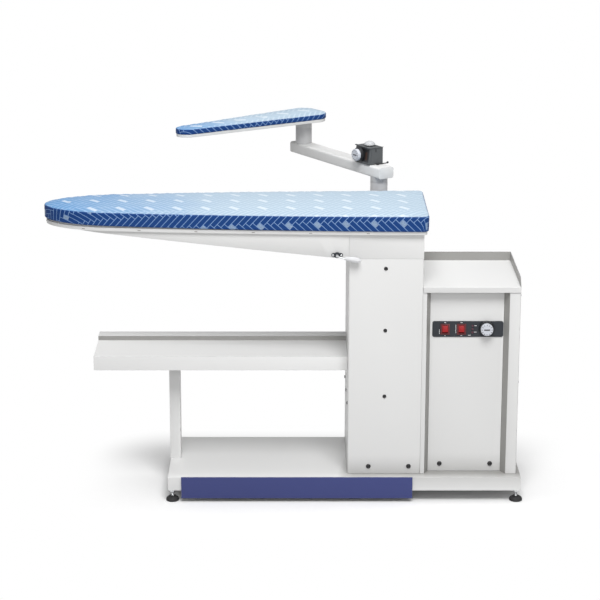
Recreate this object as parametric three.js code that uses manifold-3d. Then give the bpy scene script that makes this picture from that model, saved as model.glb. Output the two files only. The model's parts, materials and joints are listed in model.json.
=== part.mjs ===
// Vacuum ironing table with a swivel arm and a small sleeve board.
// Millimetres, +Z up, +X to the right of the person ironing, +Y away from them.
import * as THREE from 'three';
import { mergeVertices } from 'three/addons/utils/BufferGeometryUtils.js';
import Module from 'manifold-3d';

const wasm = await Module();
wasm.setup();

// Clearances shared by every piece
const seat = 0.3;
const overrun = 5;
const sheet = 1.5;
const samePoint = 0.000001;

// Facets of corners, rounds and the small pins
const arcSteps = 6;
const noseSteps = 9;
const roundSteps = 20;
const pinSteps = 12;

// Base and feet
const base = { length: 1090, depth: 380, skirt: 42, sheet: 2, groundGap: 36, cornerPlate: 56,
  cornerPlateThick: 4 };
const foot = { padRadius: 20, padHeight: 12, padTopRadius: 11, inset: 13, stemRadius: 5, stemTop: 58,
  socketDepth: 4, nutFlats: 15, nutHeight: 7, holeClearance: 0.8 };

// Column, plenum box and wedge duct
const column = { width: 227, depth: 326, height: 687, frontSetback: 37, cornerRadius: 5, flange: 12 };
const topBox = { height: 76.6, window: 308, windowHeight: 66, panOpening: 200, openingMargin: 40 };
const duct = { inset: 7, noseGap: 93, sheet: 2, openingCount: 3, openingHalf: 52, openingGap: 40 };

// Main board: outline lengths along the board from its wide end, widths from its centre line
const board = { length: 1163, halfWidth: 176, endCorner: 14, overhang: 8.5, lipHeight: 11, wallInset: 6,
  wallHeight: 34, rim: 2.5, coverGap: 0.6, coverProud: 5, sideHeight: 46, crown: 8, topThickness: 19 };
const boardShares = { sideBend: 0.43, sideBendWidth: 0.985, noseStart: 0.836, noseStartWidth: 0.7,
  noseBend: 0.93, noseBendWidth: 0.63, tipWidth: 0.29 };
const grid = { thickness: 1.5, belowRim: 8, clearance: 1.5, slotLength: 62, slotWidth: 9, slotPitchX:
  108, slotPitchY: 52, margin: 40, legWidth: 9, legEveryCount: 2 };
const heater = { radius: 4, runSpacing: 44, runCount: 4, start: 60, reach: 640, steps: 52, sideCount: 3
  };

// Cabinet and iron shelf
const cabinet = { width: 296, rightInset: 12, height: 596.7, leftPost: 11, rightPost: 33.4, recess: 24,
  leftReturn: 12, rightReturn: 14.6, flange: 12, rail: 26 };
const shelf = { lip: 15, upstand: 29, frontOverhang: 3, flangeBevel: 22, sheet: 1.5 };
const controls = { width: 217, height: 50, thick: 2, corner: 6, belowTop: 136, centre: 138.5,
  windowMargin: 8 };
const rocker = { width: 22, height: 28, bezel: 3, bezelThick: 2.5, depth: 24, throwAngle: 11, pinRadius:
  2, pinLength: 1.6, left: -69.5, pitch: 50, wall: 2, thick: 9, endRoom: 2.4 };
const lamp = { radius: 2.8, flangeRadius: 3.6, flangeThick: 2.2, depth: 12, x: 14.5, pitch: 10.4, count:
  3 };
const dial = { radius: 21, neckRadius: 15, depth: 22, skirt: 7, shaftRadius: 3, bodySize: 34, bodyDepth:
  26, x: 57, rise: 3, bushRadius: 5, standOff: 1 };

// Cloth tray and its post
const tray = { length: 784, front: 96, floorDepth: 178, ledge: 50, lip: 44, step: 14, aboveBase: 361,
  rearLip: 20 };
const post = { width: 30, depth: 62 };

// Pedal
const pedal = { length: 714, leftInset: 41, bottom: 13, height: 68.6, thick: 4, gap: 4, pivotBack: 150,
  pivotDrop: 26, armThick: 6, armInset: 104, armBottom: 16, armTop: 33, bossRadius: 10, rodRadius: 5,
  lugThick: 4, lugHalf: 14, lugGap: 1, runClearance: 0.35, armToeDepth: 22 };
const pedalSpring = { radius: 5, wire: 1.2, turnCount: 7, back: 64, stepsPerTurnCount: 8, wireSideCount:
  5 };
const pedalSwitch = { width: 20, depth: 28, height: 20, plungerRadius: 2.5, back: 66, plungerGap: 0.6 };

// Damper in the wedge duct
const damper = { fromColumn: 35.5, rise: 13, shaftRadius: 4, ringRadius: 9, earSpread: 11.5, earRadius:
  6, flangeThick: 4, standOut: 16, rodDrop: 7, rodSagShare: 0.75, rodReach: 22, rodRadius: 2.6,
  gripLength: 51, gripRadius: 9, gripDrop: 8, flapHeight: 54, flapThick: 2, flapMargin: 8, hubRadius: 7,
  runClearance: 0.3, boreDepth: 12 };

// Fan
const fan = { aboveBase: 216.7, deckSheet: 2, back: 150, motorRadius: 58, motorHeight: 118,
  flangeRadius: 68, flangeThick: 6, shaftRadius: 6, scrollHeight: 66, scrollStart: 82, scrollEnd: 103,
  scrollTurnShare: 0.86, scrollSteps: 30, inletRadius: 46, wheelRadius: 74, eyeRadius: 44, wheelHeight:
  44, wheelLift: 8, hubRadius: 14, plate: 2.5, bladeCount: 9, bladeSweepAngle: 0.75, bladeThick: 2.4,
  outletWidth: 52, shaftHole: 9, boreClearance: 0.3 };

// Swivel arm, its post and the sleeve board
const arm = { postOffset: -8, postBack: 82, radius: 27.5, wall: 4, aboveCover: 24, seam: 17, width: 56,
  height: 36.2, reach: 438, tail: 40, angle: 122.8, cornerRadius: 7, sheet: 2, spigotWall: 3.2,
  spigotClear: 0.35 };
const bracket = { width: 84, height: 80, belowTop: 23.3, sheet: 2.5, collar: 22, collarWall: 5,
  rearMargin: 12 };
const pillar = { radius: 27, lower: 50.5, spigot: 12, bore: 20 };
const sleeve = { length: 562, halfWidth: 70, tail: 60, neck: 26.2, lipHeight: 10, wallInset: 5,
  wallHeight: 20, rim: 2, coverGap: 0.5, coverProud: 2, sideHeight: 16.5, crown: 4, topThickness: 9.5,
  angle: 93.5, endCorner: 46 };
const sleeveShares = { sideBend: 0.45, sideBendWidth: 0.79, noseStart: 0.925, noseStartWidth: 0.5,
  noseBend: 0.97, noseBendWidth: 0.47, tipWidth: 0.25 };
const box = { start: 14, length: 79, backReach: 24, footReach: 30, topReach: 24, height: 54, sheet: 1.5,
  knobAlong: 48, knobRise: 28, buttonRadius: 19, buttonHeight: 18, buttonTravel: 3, buttonStem: 5,
  stemBelow: 2 };
const lock = { along: 7, hubRadius: 5, hubHeight: 4, rodRadius: 1.7, rodLength: 38, ballRadius: 3.6,
  spindle: 2.5, flapHeight: 26, flapWidth: 44, flapThick: 1.6 };

// Electrics
const panelPlate = { width: 190, height: 260, thick: 1.5, fold: 10, aboveBase: 171.7 };
const contactor = { width: 78, height: 84, depth: 62, step: 18, margin: 14 };
const gland = { radius: 9, headRadius: 13, headLength: 14, bodyLength: 14, bore: 4.5, inset: 60,
  aboveBase: 61.7 };

// Where the main blocks stand
const baseRight = base.length / 2;
const baseLeft = -base.length / 2;
const baseTop = base.groundGap + base.skirt;
const cabinetRight = baseRight - cabinet.rightInset;
const cabinetLeft = cabinetRight - cabinet.width;
const columnRight = cabinetLeft - seat;
const columnLeft = columnRight - column.width;
const columnMid = (columnLeft + columnRight) / 2;
const front = column.frontSetback;
const rear = column.frontSetback + column.depth;
const middle = (front + rear) / 2;
const columnBottom = baseTop + seat;
const columnTop = columnBottom + column.height;
const boxBottom = columnTop + seat;
const boxTop = boxBottom + topBox.height;
const panBottom = boxTop + seat;
const boardRight = columnRight + board.overhang;
const coverBottom = panBottom + board.lipHeight + seat;
const armUnderside = coverBottom + board.sideHeight + board.crown + arm.aboveCover;
const pivotZ = baseTop - pedal.pivotDrop;

// Colours of the pieces
const paint = { color: 0xdcdcdc, roughness: 0.45, metalness: 0.0 };
const steel = { color: 0xb4b6b8, roughness: 0.35, metalness: 0.9 };
const darkPaint = { color: 0x55585c, roughness: 0.5, metalness: 0.0 };
const pillarPaint = { color: 0xb5b6b8, roughness: 0.45, metalness: 0.1 };
const bluePaint = { color: 0x424b80, roughness: 0.45, metalness: 0.0 };
const blueCloth = { color: 0x3f78c0, roughness: 0.85, metalness: 0.0 };
const rubber = { color: 0x1b1b1c, roughness: 0.8, metalness: 0.0 };
const blackPlastic = { color: 0x202122, roughness: 0.4, metalness: 0.0 };
const whitePlastic = { color: 0xeeeeee, roughness: 0.35, metalness: 0.0 };
const redPlastic = { color: 0xc8251f, roughness: 0.3, metalness: 0.0 };
const castAluminium = { color: 0x9a9da0, roughness: 0.5, metalness: 0.8 };

const table = new THREE.Group();

// Adds one named piece to a group
function piece(name, geometry, finish, parent = table) {
  const mesh = new THREE.Mesh(geometry, new THREE.MeshStandardMaterial(finish));
  mesh.name = name;
  parent.add(mesh);
  return mesh;
}

// A closed geometry as a solid for joining and cutting
function solid(geometry) {
  const bare = geometry.clone();
  bare.deleteAttribute('normal');
  bare.deleteAttribute('uv');
  const merged = mergeVertices(bare);
  return new wasm.Manifold(new wasm.Mesh({
    numProp: 3,
    vertProperties: new Float32Array(merged.attributes.position.array),
    triVerts: new Uint32Array(merged.index.array),
  }));
}

// A solid back as a geometry
function shape3d(body) {
  const mesh = body.getMesh();
  const geometry = new THREE.BufferGeometry();
  geometry.setAttribute('position', new THREE.BufferAttribute(new Float32Array(mesh.vertProperties), 3));
  geometry.setIndex(new THREE.BufferAttribute(new Uint32Array(mesh.triVerts), 1));
  return geometry;
}

function join(first, ...others) {
  return shape3d(others.reduce((body, other) => body.add(solid(other)), solid(first)));
}

function cut(first, ...others) {
  return shape3d(others.reduce((body, other) => body.subtract(solid(other)), solid(first)));
}

function common(first, other) {
  return shape3d(solid(first).intersect(solid(other)));
}

// A block between two corners
function block(x0, x1, y0, y1, z0, z1) {
  const geometry = new THREE.BoxGeometry(x1 - x0, y1 - y0, z1 - z0);
  return geometry.translate((x0 + x1) / 2, (y0 + y1) / 2, (z0 + z1) / 2);
}

// A closed outline pushed up from z0 to z1
function upright(points, z0, z1) {
  const geometry = new THREE.ExtrudeGeometry(new THREE.Shape(points), { depth: z1 - z0, bevelEnabled: false });
  return geometry.translate(0, 0, z0);
}

// An outline drawn in Y and Z, pushed along X
function alongX(points, x0, x1) {
  const geometry = new THREE.ExtrudeGeometry(new THREE.Shape(points), { depth: x1 - x0, bevelEnabled: false });
  return geometry.rotateX(Math.PI / 2).rotateZ(Math.PI / 2).translate(x0, 0, 0);
}

// An outline drawn in X and Z, pushed along Y
function alongY(points, y0, y1) {
  const geometry = new THREE.ExtrudeGeometry(new THREE.Shape(points), { depth: y1 - y0, bevelEnabled: false });
  return geometry.rotateX(Math.PI / 2).translate(0, y1, 0);
}

// A turned body standing on Z, from a list of [radius, height] pairs that starts and ends on the axis
function turned(profile, steps = roundSteps) {
  const geometry = new THREE.LatheGeometry(profile.map(([r, z]) => new THREE.Vector2(r, z)), steps);
  return geometry.rotateX(Math.PI / 2);
}

function disc(radius, z0, z1, steps = roundSteps) {
  return turned([[0, z0], [radius, z0], [radius, z1], [0, z1]], steps);
}

// A tube standing on Z
function pipe(outer, inner, z0, z1, steps = roundSteps) {
  return turned([[inner, z0], [outer, z0], [outer, z1], [inner, z1], [inner, z0]], steps);
}

const xy = (x, y) => new THREE.Vector2(x, y);

// The four corners start a quarter turn apart
function roundedRectangle(x0, x1, y0, y1, r, steps = arcSteps) {
  const corners = [[x1 - r, y0 + r, -0.5], [x1 - r, y1 - r, 0], [x0 + r, y1 - r, 0.5], [x0 + r, y0 + r, 1]];
  return corners.flatMap(([cx, cy, turn]) => Array.from({ length: steps + 1 }, (_, i) => {
    const a = (turn + i / steps / 2) * Math.PI;
    return xy(cx + r * Math.cos(a), cy + r * Math.sin(a));
  }));
}

// The closed section of a bent sheet: a path and its copy one thickness to the left
const mitreLimitShare = 0.2;

function bentSheet(path, thick) {
  const offset = path.map((p, i) => {
    const before = path[Math.max(i - 1, 0)];
    const after = path[Math.min(i + 1, path.length - 1)];
    const a = p.clone().sub(i ? before : after).multiplyScalar(i ? 1 : -1).normalize();
    const b = (i < path.length - 1 ? after.clone().sub(p) : p.clone().sub(before)).normalize();
    const mitre = xy(-a.y - b.y, a.x + b.x).normalize();
    const scale = thick / Math.max(mitre.dot(xy(-a.y, a.x)), mitreLimitShare);
    return p.clone().addScaledVector(mitre, scale);
  });
  return [...path, ...offset.reverse()];
}

// Half outline of a board from its wide end to its nose, with Y as the half width
function halfOutline(size, shares) {
  const L = size.length;
  const h = size.halfWidth;
  const r = size.endCorner;
  const at = (along, width) => xy(-along * L, width * h);
  const corner = new THREE.EllipseCurve(-r, h - r, r, r, 0, Math.PI / 2, false).getPoints(arcSteps);
  const side = new THREE.QuadraticBezierCurve(xy(-r, h), at(shares.sideBend, shares.sideBendWidth),
    at(shares.noseStart, shares.noseStartWidth)).getPoints(arcSteps);
  const nose = new THREE.CubicBezierCurve(at(shares.noseStart, shares.noseStartWidth),
    at(shares.noseBend, shares.noseBendWidth), xy(-L, shares.tipWidth * h), xy(-L, 0)).getPoints(noseSteps);
  return [...corner, ...side.slice(1), ...nose.slice(1)];
}

// The whole outline, drawn in by inset, with its wide end at X = 0 and its nose at -X
function outline(size, shares, inset = 0) {
  const half = halfOutline(size, shares);
  const drawnIn = half.map((p, i) => {
    const before = i ? half[i - 1] : xy(p.x, p.y - 1);
    const after = i < half.length - 1 ? half[i + 1] : xy(p.x, p.y - 1);
    const along = after.clone().sub(before).normalize();
    return xy(p.x - along.y * inset, p.y + along.x * inset);
  });
  const last = drawnIn.length - 1;
  drawnIn[last].y = 0;
  return [...drawnIn, ...drawnIn.slice(0, last).reverse().map((p) => xy(p.x, -p.y))];
}

const moved = (points, dx, dy) => points.map((p) => xy(p.x + dx, p.y + dy));

// Padded cover, a little proud of the pan: sides drawn in at the hem, a rounded top edge and a crown,
// with a pocket for the pan under it
const coverSideShares = [[0.03, 0], [0, 0.3], [0, 0.72], [0.02, 0.92], [0.06, 1]];
const crownShares = [0.12, 0.3, 0.6, 1];

function paddedCover(size, shares, bottom) {
  const base2d = outline(size, shares, -size.coverProud);
  const edge = coverSideShares.at(-1)[0] * size.halfWidth - size.coverProud;
  const rings = coverSideShares.map(([inset, rise]) => outline(size, shares,
    inset * size.halfWidth - size.coverProud).map((p) => [p.x, p.y, bottom + rise * size.sideHeight]));
  const top = outline(size, shares, edge);
  const spineEnd = shares.noseStart * size.length;
  crownShares.forEach((t) => rings.push(top.map((p, i) => {
    const spineX = Math.min(Math.max(base2d[i].x, -spineEnd), -size.halfWidth);
    const z = bottom + size.sideHeight + size.crown * (1 - (1 - t) ** 2);
    return [p.x + (spineX - p.x) * t, p.y * (1 - t), z];
  })));
  const positions = rings.flat(2);
  const n = base2d.length;
  const faces = THREE.ShapeUtils.triangulateShape(base2d, []).map(([a, b, c]) => [c, b, a]);
  for (let ring = 0; ring < rings.length - 1; ring += 1) {
    for (let i = 0; i < n; i += 1) {
      const a = ring * n + i;
      const b = ring * n + (i + 1) % n;
      faces.push([a, b, b + n], [a, b + n, a + n]);
    }
  }
  const pointOf = (i) => rings[Math.floor(i / n)][i % n];
  const same = (a, b) => pointOf(a).every((v, k) => Math.abs(v - pointOf(b)[k]) < samePoint);
  const kept = faces.filter(([a, b, c]) => !same(a, b) && !same(b, c) && !same(a, c));
  const geometry = new THREE.BufferGeometry();
  geometry.setAttribute('position', new THREE.Float32BufferAttribute(positions, 3));
  geometry.setIndex(kept.flat());
  const pocket = outline(size, shares, size.wallInset - size.coverGap);
  const pocketTop = bottom + size.sideHeight + size.crown - size.topThickness;
  return cut(geometry, upright(pocket, bottom - overrun, pocketTop));
}

// Base: a pressed pan open below, with corner plates for the feet and lugs for the pedal rod
const pedalLeft = baseLeft + pedal.leftInset;
const pedalRight = pedalLeft + pedal.length;
const armXs = [pedalLeft + pedal.armInset, pedalRight - pedal.armInset];
const lugOffset = pedal.armThick / 2 + pedal.lugGap + pedal.lugThick / 2;
const footPlaces = [['front_left', -1, -1], ['front_right', 1, -1], ['rear_left', -1, 1], ['rear_right', 1, 1]]
  .map(([name, sx, sy]) => ({ name, sx, sy, x: sx * (baseRight - foot.inset),
    y: base.depth / 2 + sy * (base.depth / 2 - foot.inset) }));

function basePan() {
  const shell = cut(block(baseLeft, baseRight, 0, base.depth, base.groundGap, baseTop),
    block(baseLeft + base.sheet, baseRight - base.sheet, base.sheet, base.depth - base.sheet,
      base.groundGap - overrun, baseTop - base.sheet));
  const cornerPlates = footPlaces.map(({ sx, sy }) => {
    const x = sx * baseRight;
    const y = sy < 0 ? 0 : base.depth;
    const xs = [x, x - sx * base.cornerPlate].sort((a, b) => a - b);
    const ys = [y, y - sy * base.cornerPlate].sort((a, b) => a - b);
    return block(...xs, ...ys, base.groundGap, base.groundGap + base.cornerPlateThick);
  });
  const lugs = armXs.flatMap((x) => [-1, 1].map((side) => block(x + side * lugOffset - pedal.lugThick / 2,
    x + side * lugOffset + pedal.lugThick / 2, pedal.pivotBack - pedal.lugHalf, pedal.pivotBack + pedal.lugHalf,
    pivotZ - pedal.bossRadius, baseTop - base.sheet / 2)));
  const stemHoles = footPlaces.map(({ x, y }) => disc(foot.stemRadius + foot.holeClearance,
    base.groundGap - overrun, base.groundGap + base.cornerPlateThick + overrun).translate(x, y, 0));
  const rodHole = disc(pedal.rodRadius + seat, pedalLeft, pedalRight, roundSteps)
    .rotateY(Math.PI / 2).translate(0, pedal.pivotBack, pivotZ);
  return cut(join(shell, ...cornerPlates, ...lugs), ...stemHoles, rodHole);
}

piece('base_pan', basePan(), paint);

// Feet: a threaded stem with a hex for the spanner, standing in a rubber pad
function footStem() {
  const bottom = foot.padHeight - foot.socketDepth + seat;
  const hexRadius = foot.nutFlats / 2 / Math.cos(Math.PI / 6);
  return join(disc(foot.stemRadius, bottom, foot.stemTop),
    disc(hexRadius, foot.padHeight + seat, foot.padHeight + foot.nutHeight, 6));
}

function footPad() {
  const rimHeight = foot.padHeight / 3;
  const socket = foot.stemRadius + seat;
  const socketFloor = foot.padHeight - foot.socketDepth;
  return turned([[0, 0], [foot.padRadius, 0], [foot.padRadius, rimHeight], [foot.padTopRadius, foot.padHeight],
    [socket, foot.padHeight], [socket, socketFloor], [0, socketFloor]]);
}

footPlaces.forEach(({ name, x, y }) => {
  piece(`foot_stem_${name}`, footStem().translate(x, y, 0), steel);
  piece(`foot_pad_${name}`, footPad().translate(x, y, 0), rubber);
});

// Column: one bent sheet round the front and sides, flanged at the back, with a cover behind
function columnShell() {
  const r = column.cornerRadius;
  const outer = roundedRectangle(columnLeft, columnRight, front, rear + column.flange, r);
  const inner = roundedRectangle(columnLeft + sheet, columnRight - sheet, front + sheet, rear - sheet,
    r - sheet);
  const opening = block(columnLeft + column.flange, columnRight - column.flange, middle, rear + overrun,
    columnBottom - overrun, columnTop + overrun);
  const behind = block(columnLeft - overrun, columnRight + overrun, rear, rear + column.flange + overrun,
    columnBottom - overrun, columnTop + overrun);
  return cut(upright(outer, columnBottom, columnTop),
    upright(inner, columnBottom - overrun, columnTop + overrun), opening, behind);
}

const postX = columnMid + arm.postOffset;
const postY = rear + arm.postBack;
const bracketTop = columnTop - bracket.belowTop;
const bracketBottom = bracketTop - bracket.height;
const deckTop = columnBottom + fan.aboveBase;
const scrollBottom = deckTop + seat;
const scrollTop = scrollBottom + fan.scrollHeight;
const fanX = columnMid;
const fanY = front + fan.back;
const outletX = fanX + fan.scrollEnd - fan.outletWidth / 2;
const rearCoverFront = rear + seat;
const rearCoverBack = rearCoverFront + sheet;

function columnRearCover() {
  const plate = block(columnLeft, columnRight, rearCoverFront, rearCoverBack, columnBottom, columnTop);
  const exhaust = block(outletX - fan.outletWidth / 2, outletX + fan.outletWidth / 2, rear - overrun,
    rearCoverBack + overrun, scrollBottom + sheet, scrollTop - sheet);
  const half = bracket.width / 2 - bracket.sheet;
  const air = block(postX - half, postX + half, rear - overrun, rearCoverBack + overrun,
    bracketBottom + bracket.sheet, bracketTop - bracket.sheet);
  return cut(plate, exhaust, air);
}

piece('column_shell', columnShell(), paint);
piece('column_rear_cover', columnRearCover(), paint);

// Plenum box on the column, open above and below, with a window to the wedge duct
const boxLeft = columnLeft + seat;

function plenumBox() {
  const walls = cut(block(boxLeft, columnRight, front, rear, boxBottom, boxTop),
    block(boxLeft + sheet, columnRight - sheet, front + sheet, rear - sheet, boxBottom - overrun,
      boxTop + overrun));
  const windowZ = boxTop - sheet;
  return cut(walls, block(boxLeft - overrun, boxLeft + overrun, middle - topBox.window / 2,
    middle + topBox.window / 2, windowZ - topBox.windowHeight, windowZ));
}

piece('column_top_box', plenumBox(), paint);

// Wedge duct under the board: follows the board's outline, deepest at the column and running out near the nose
const ductLeft = boardRight - board.length + duct.noseGap;
const ductRight = columnLeft;

function wedgeBlock(inset, wall, right, top) {
  const plan = moved(outline(board, boardShares, inset), boardRight, middle);
  const side = [xy(ductLeft, boxTop + wall), xy(columnLeft, boxBottom + wall),
    xy(right + overrun, boxBottom + wall), xy(right + overrun, top), xy(ductLeft, top)];
  const wedge = common(upright(plan, boxBottom, top), alongY(side, front - overrun, rear + overrun));
  return common(wedge, block(boardRight - board.length, right, front + wall, rear - wall, boxBottom, top));
}

const damperX = columnLeft - damper.fromColumn;
const damperZ = boxBottom + damper.rise;

// A round hole or bar along Y
function discY(radius, x, z, y0, y1, steps = roundSteps) {
  return disc(radius, y0, y1, steps).rotateX(-Math.PI / 2).translate(x, 0, z);
}

function wedgeDuct() {
  const outer = wedgeBlock(duct.inset, 0, ductRight, boxTop);
  const inner = wedgeBlock(duct.inset + duct.sheet, duct.sheet, ductRight + overrun, boxTop + overrun);
  const shaftHole = discY(damper.shaftRadius + damper.runClearance, damperX, damperZ, front - overrun, rear);
  return cut(outer, inner, shaftHole);
}

piece('wedge_duct', wedgeDuct(), paint);

// Damper: a flange on the duct, a shaft across it with a flap, and a bent rod with a grip
function damperFlange() {
  const y1 = front - seat;
  const y0 = y1 - damper.flangeThick;
  const ears = [-1, 1].map((side) => discY(damper.earRadius, damperX + side * damper.earSpread, damperZ,
    y0, y1));
  const web = block(damperX - damper.earSpread, damperX + damper.earSpread, y0, y1,
    damperZ - damper.earRadius, damperZ + damper.earRadius);
  const ring = discY(damper.ringRadius, damperX, damperZ, y0 - damper.flangeThick / 2, y1);
  const bore = discY(damper.shaftRadius + damper.runClearance, damperX, damperZ, y0 - overrun, y1 + overrun);
  return cut(join(ring, web, ...ears), bore);
}

const rodY = front - damper.standOut;
const gripStart = xy(damperX + damper.rodReach, damperZ - damper.rodDrop);
const gripAngle = Math.atan2(-damper.gripDrop, damper.gripLength);

function damperLever() {
  const shaft = discY(damper.shaftRadius, damperX, damperZ, rodY - damper.rodRadius, rear - damper.flapMargin);
  const alongGrip = xy(Math.cos(gripAngle), Math.sin(gripAngle));
  const end = gripStart.clone().addScaledVector(alongGrip, damper.boreDepth);
  const sag = xy(damperX + damper.rodReach / 2, damperZ - damper.rodDrop * damper.rodSagShare);
  const route = new THREE.CatmullRomCurve3([xy(damperX, damperZ), sag, gripStart, end]
    .map((p) => new THREE.Vector3(p.x, rodY, p.y)));
  const section = new THREE.Shape().absarc(0, 0, damper.rodRadius, 0, 2 * Math.PI);
  const rod = new THREE.ExtrudeGeometry(section, { steps: roundSteps / 2,
    curveSegments: heater.sideCount + 1, extrudePath: route });
  return join(shaft, rod);
}

// The grip is turned about its own length, thicker toward the hand end, with a bore for the rod
const gripShares = [[0, 0.42], [0.05, 0.55], [0.3, 0.82], [0.6, 1], [0.85, 0.86], [0.95, 0.55], [1, 0]];

function damperGrip() {
  const outer = gripShares.map(([along, width]) => [width * damper.gripRadius, along * damper.gripLength]);
  const bore = damper.rodRadius + seat;
  const body = turned([[0, 0], ...outer], roundSteps / 2);
  const hole = disc(bore, -overrun, damper.boreDepth + seat, roundSteps / 2);
  return cut(body, hole).rotateY(Math.PI / 2 - gripAngle).translate(gripStart.x, rodY, gripStart.y);
}

function damperFlap() {
  const y0 = front + duct.sheet + damper.flapMargin;
  const y1 = rear - duct.sheet - damper.flapMargin * 2;
  const plate = block(damperX - damper.flapThick / 2, damperX + damper.flapThick / 2, y0, y1,
    damperZ, damperZ + damper.flapHeight);
  const hub = discY(damper.hubRadius, damperX, damperZ, y0, y1);
  return cut(join(plate, hub), discY(damper.shaftRadius + seat, damperX, damperZ, y0 - overrun, y1 + overrun));
}

piece('damper_flange', damperFlange(), darkPaint);
piece('damper_lever', damperLever(), steel);
piece('damper_grip', damperGrip(), whitePlastic);
piece('damper_flap', damperFlap(), steel);

// Main board: a pan with a rolled rim, a slotted grid over a heating rod, and the padded cover
const boardAt = (geometry) => geometry.translate(boardRight, middle, 0);
const halfWidthAt = (size, shares, along) => {
  const half = halfOutline(size, shares);
  const next = half.findIndex((p) => -p.x >= along);
  return next > 0 ? Math.min(half[next].y, half[next - 1].y) : half[0].y;
};

function boardPan() {
  const rim = upright(outline(board, boardShares), panBottom, panBottom + board.lipHeight);
  const wall = upright(outline(board, boardShares, board.wallInset), panBottom, panBottom + board.wallHeight);
  const hollow = upright(outline(board, boardShares, board.wallInset + board.rim), panBottom + sheet,
    panBottom + board.wallHeight + overrun);
  const margin = topBox.openingMargin;
  const inBox = block(boxLeft - boardRight + margin, -margin, -topBox.panOpening / 2, topBox.panOpening / 2,
    panBottom - overrun, panBottom + overrun);
  const pitch = (boxLeft - ductLeft) / (duct.openingCount + 1);
  const inDuct = Array.from({ length: duct.openingCount }, (_, i) => {
    const x1 = boxLeft - boardRight - duct.openingGap - i * pitch;
    return block(x1 - pitch + duct.openingGap, x1, -duct.openingHalf, duct.openingHalf,
      panBottom - overrun, panBottom + overrun);
  });
  return boardAt(cut(join(rim, wall), hollow, inBox, ...inDuct));
}

function boardGrid() {
  const top = panBottom + board.wallHeight - grid.belowRim;
  const inset = board.wallInset + board.rim + grid.clearance;
  const plate = upright(outline(board, boardShares, inset), top - grid.thickness, top);
  const slots = [];
  const legs = [];
  const columns = Math.ceil((board.length - board.endCorner - 2 * grid.margin) / grid.slotPitchX);
  for (let column = 0; column < columns; column += 1) {
    const x = grid.margin + column * grid.slotPitchX;
    const slotEnd = x + grid.slotLength;
    const room = halfWidthAt(board, boardShares, slotEnd) - inset - grid.margin / 2;
    for (let y = 0; y < room; y += grid.slotPitchY) {
      [...new Set([y, -y])].forEach((mid) => slots.push(block(-slotEnd, -x,
        mid - grid.slotWidth / 2, mid + grid.slotWidth / 2, top - overrun, top + overrun)));
    }
    if (column % grid.legEveryCount === 0) {
      [-1, 1].forEach((side) => legs.push(block(-slotEnd - grid.legWidth, -slotEnd - grid.legWidth / 2,
        side * room - grid.legWidth / 2, side * room + grid.legWidth / 2, panBottom + sheet + seat,
        top - grid.thickness / 2)));
    }
  }
  return boardAt(cut(join(plate, ...legs), ...slots));
}

// One rod bent back and forth, lying on the pan's floor
function boardHeater() {
  const path = new THREE.CurvePath();
  const z = panBottom + sheet + seat + heater.radius;
  const far = -heater.start - heater.reach;
  for (let run = 0; run < heater.runCount; run += 1) {
    const y = (run - (heater.runCount - 1) / 2) * heater.runSpacing;
    const xs = run % 2 ? [far, -heater.start] : [-heater.start, far];
    path.add(new THREE.LineCurve3(new THREE.Vector3(xs[0], y, z), new THREE.Vector3(xs[1], y, z)));
    if (run < heater.runCount - 1) {
      const out = (run % 2 ? 1 : -1) * (heater.runSpacing * 2) / 3;
      const next = y + heater.runSpacing;
      path.add(new THREE.CubicBezierCurve3(new THREE.Vector3(xs[1], y, z), new THREE.Vector3(xs[1] + out, y, z),
        new THREE.Vector3(xs[1] + out, next, z), new THREE.Vector3(xs[1], next, z)));
    }
  }
  const section = new THREE.Shape().absarc(0, 0, heater.radius, 0, 2 * Math.PI);
  return boardAt(new THREE.ExtrudeGeometry(section, { steps: heater.steps, curveSegments: heater.sideCount,
    extrudePath: path }));
}

piece('board_pan', boardPan(), paint);
piece('board_grid', boardGrid(), steel);
piece('board_heater', boardHeater(), steel);
piece('board_cover', boardAt(paddedCover(board, boardShares, coverBottom)), blueCloth);

// Cabinet: a bent sheet with two posts beside a recessed front, closed by a panel and a side cover
const cabinetBottom = baseTop + seat;
const cabinetTop = cabinetBottom + cabinet.height;
const controlZ = cabinetTop - controls.belowTop;
const recessY = front + cabinet.recess;
const glandZ = cabinetBottom + gland.aboveBase;
const recessLeft = cabinetLeft + cabinet.leftPost + cabinet.leftReturn;
const recessRight = cabinetRight - cabinet.rightPost - cabinet.rightReturn;
const sideCoverInner = cabinetRight - sheet - seat;

function cabinetShell() {
  const left = bentSheet([xy(recessLeft + cabinet.flange, recessY + sheet), xy(recessLeft, recessY + sheet),
    xy(cabinetLeft + cabinet.leftPost, front), xy(cabinetLeft, front), xy(cabinetLeft, rear),
    xy(sideCoverInner, rear), xy(sideCoverInner, rear - cabinet.flange)], -sheet);
  const right = bentSheet([xy(sideCoverInner, front + cabinet.flange), xy(sideCoverInner, front),
    xy(cabinetRight - cabinet.rightPost, front), xy(recessRight, recessY + sheet),
    xy(recessRight - cabinet.flange, recessY + sheet)], -sheet);
  const rail = (z) => block(cabinetLeft + sheet / 2, sideCoverInner - sheet / 2, recessY + 2 * sheet,
    recessY + 3 * sheet, z, z + cabinet.rail);
  const linkXs = [recessLeft, recessRight - cabinet.flange];
  const links = [cabinetBottom, cabinetTop - cabinet.rail].flatMap((z) => linkXs.map((x) => block(x,
    x + cabinet.flange, recessY + 1.5 * sheet, recessY + 2.5 * sheet, z, z + cabinet.rail)));
  const glandHole = discY(gland.radius + seat, cabinetRight - gland.inset, glandZ, rear - overrun,
    rear + overrun);
  return cut(join(upright(left, cabinetBottom, cabinetTop), upright(right, cabinetBottom, cabinetTop),
    rail(cabinetBottom), rail(cabinetTop - cabinet.rail), ...links), glandHole);
}

const panelX = cabinetLeft + controls.centre;
const panelFront = recessY;
const panelBack = recessY + sheet;
const plateFront = panelFront - seat - controls.thick;

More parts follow.
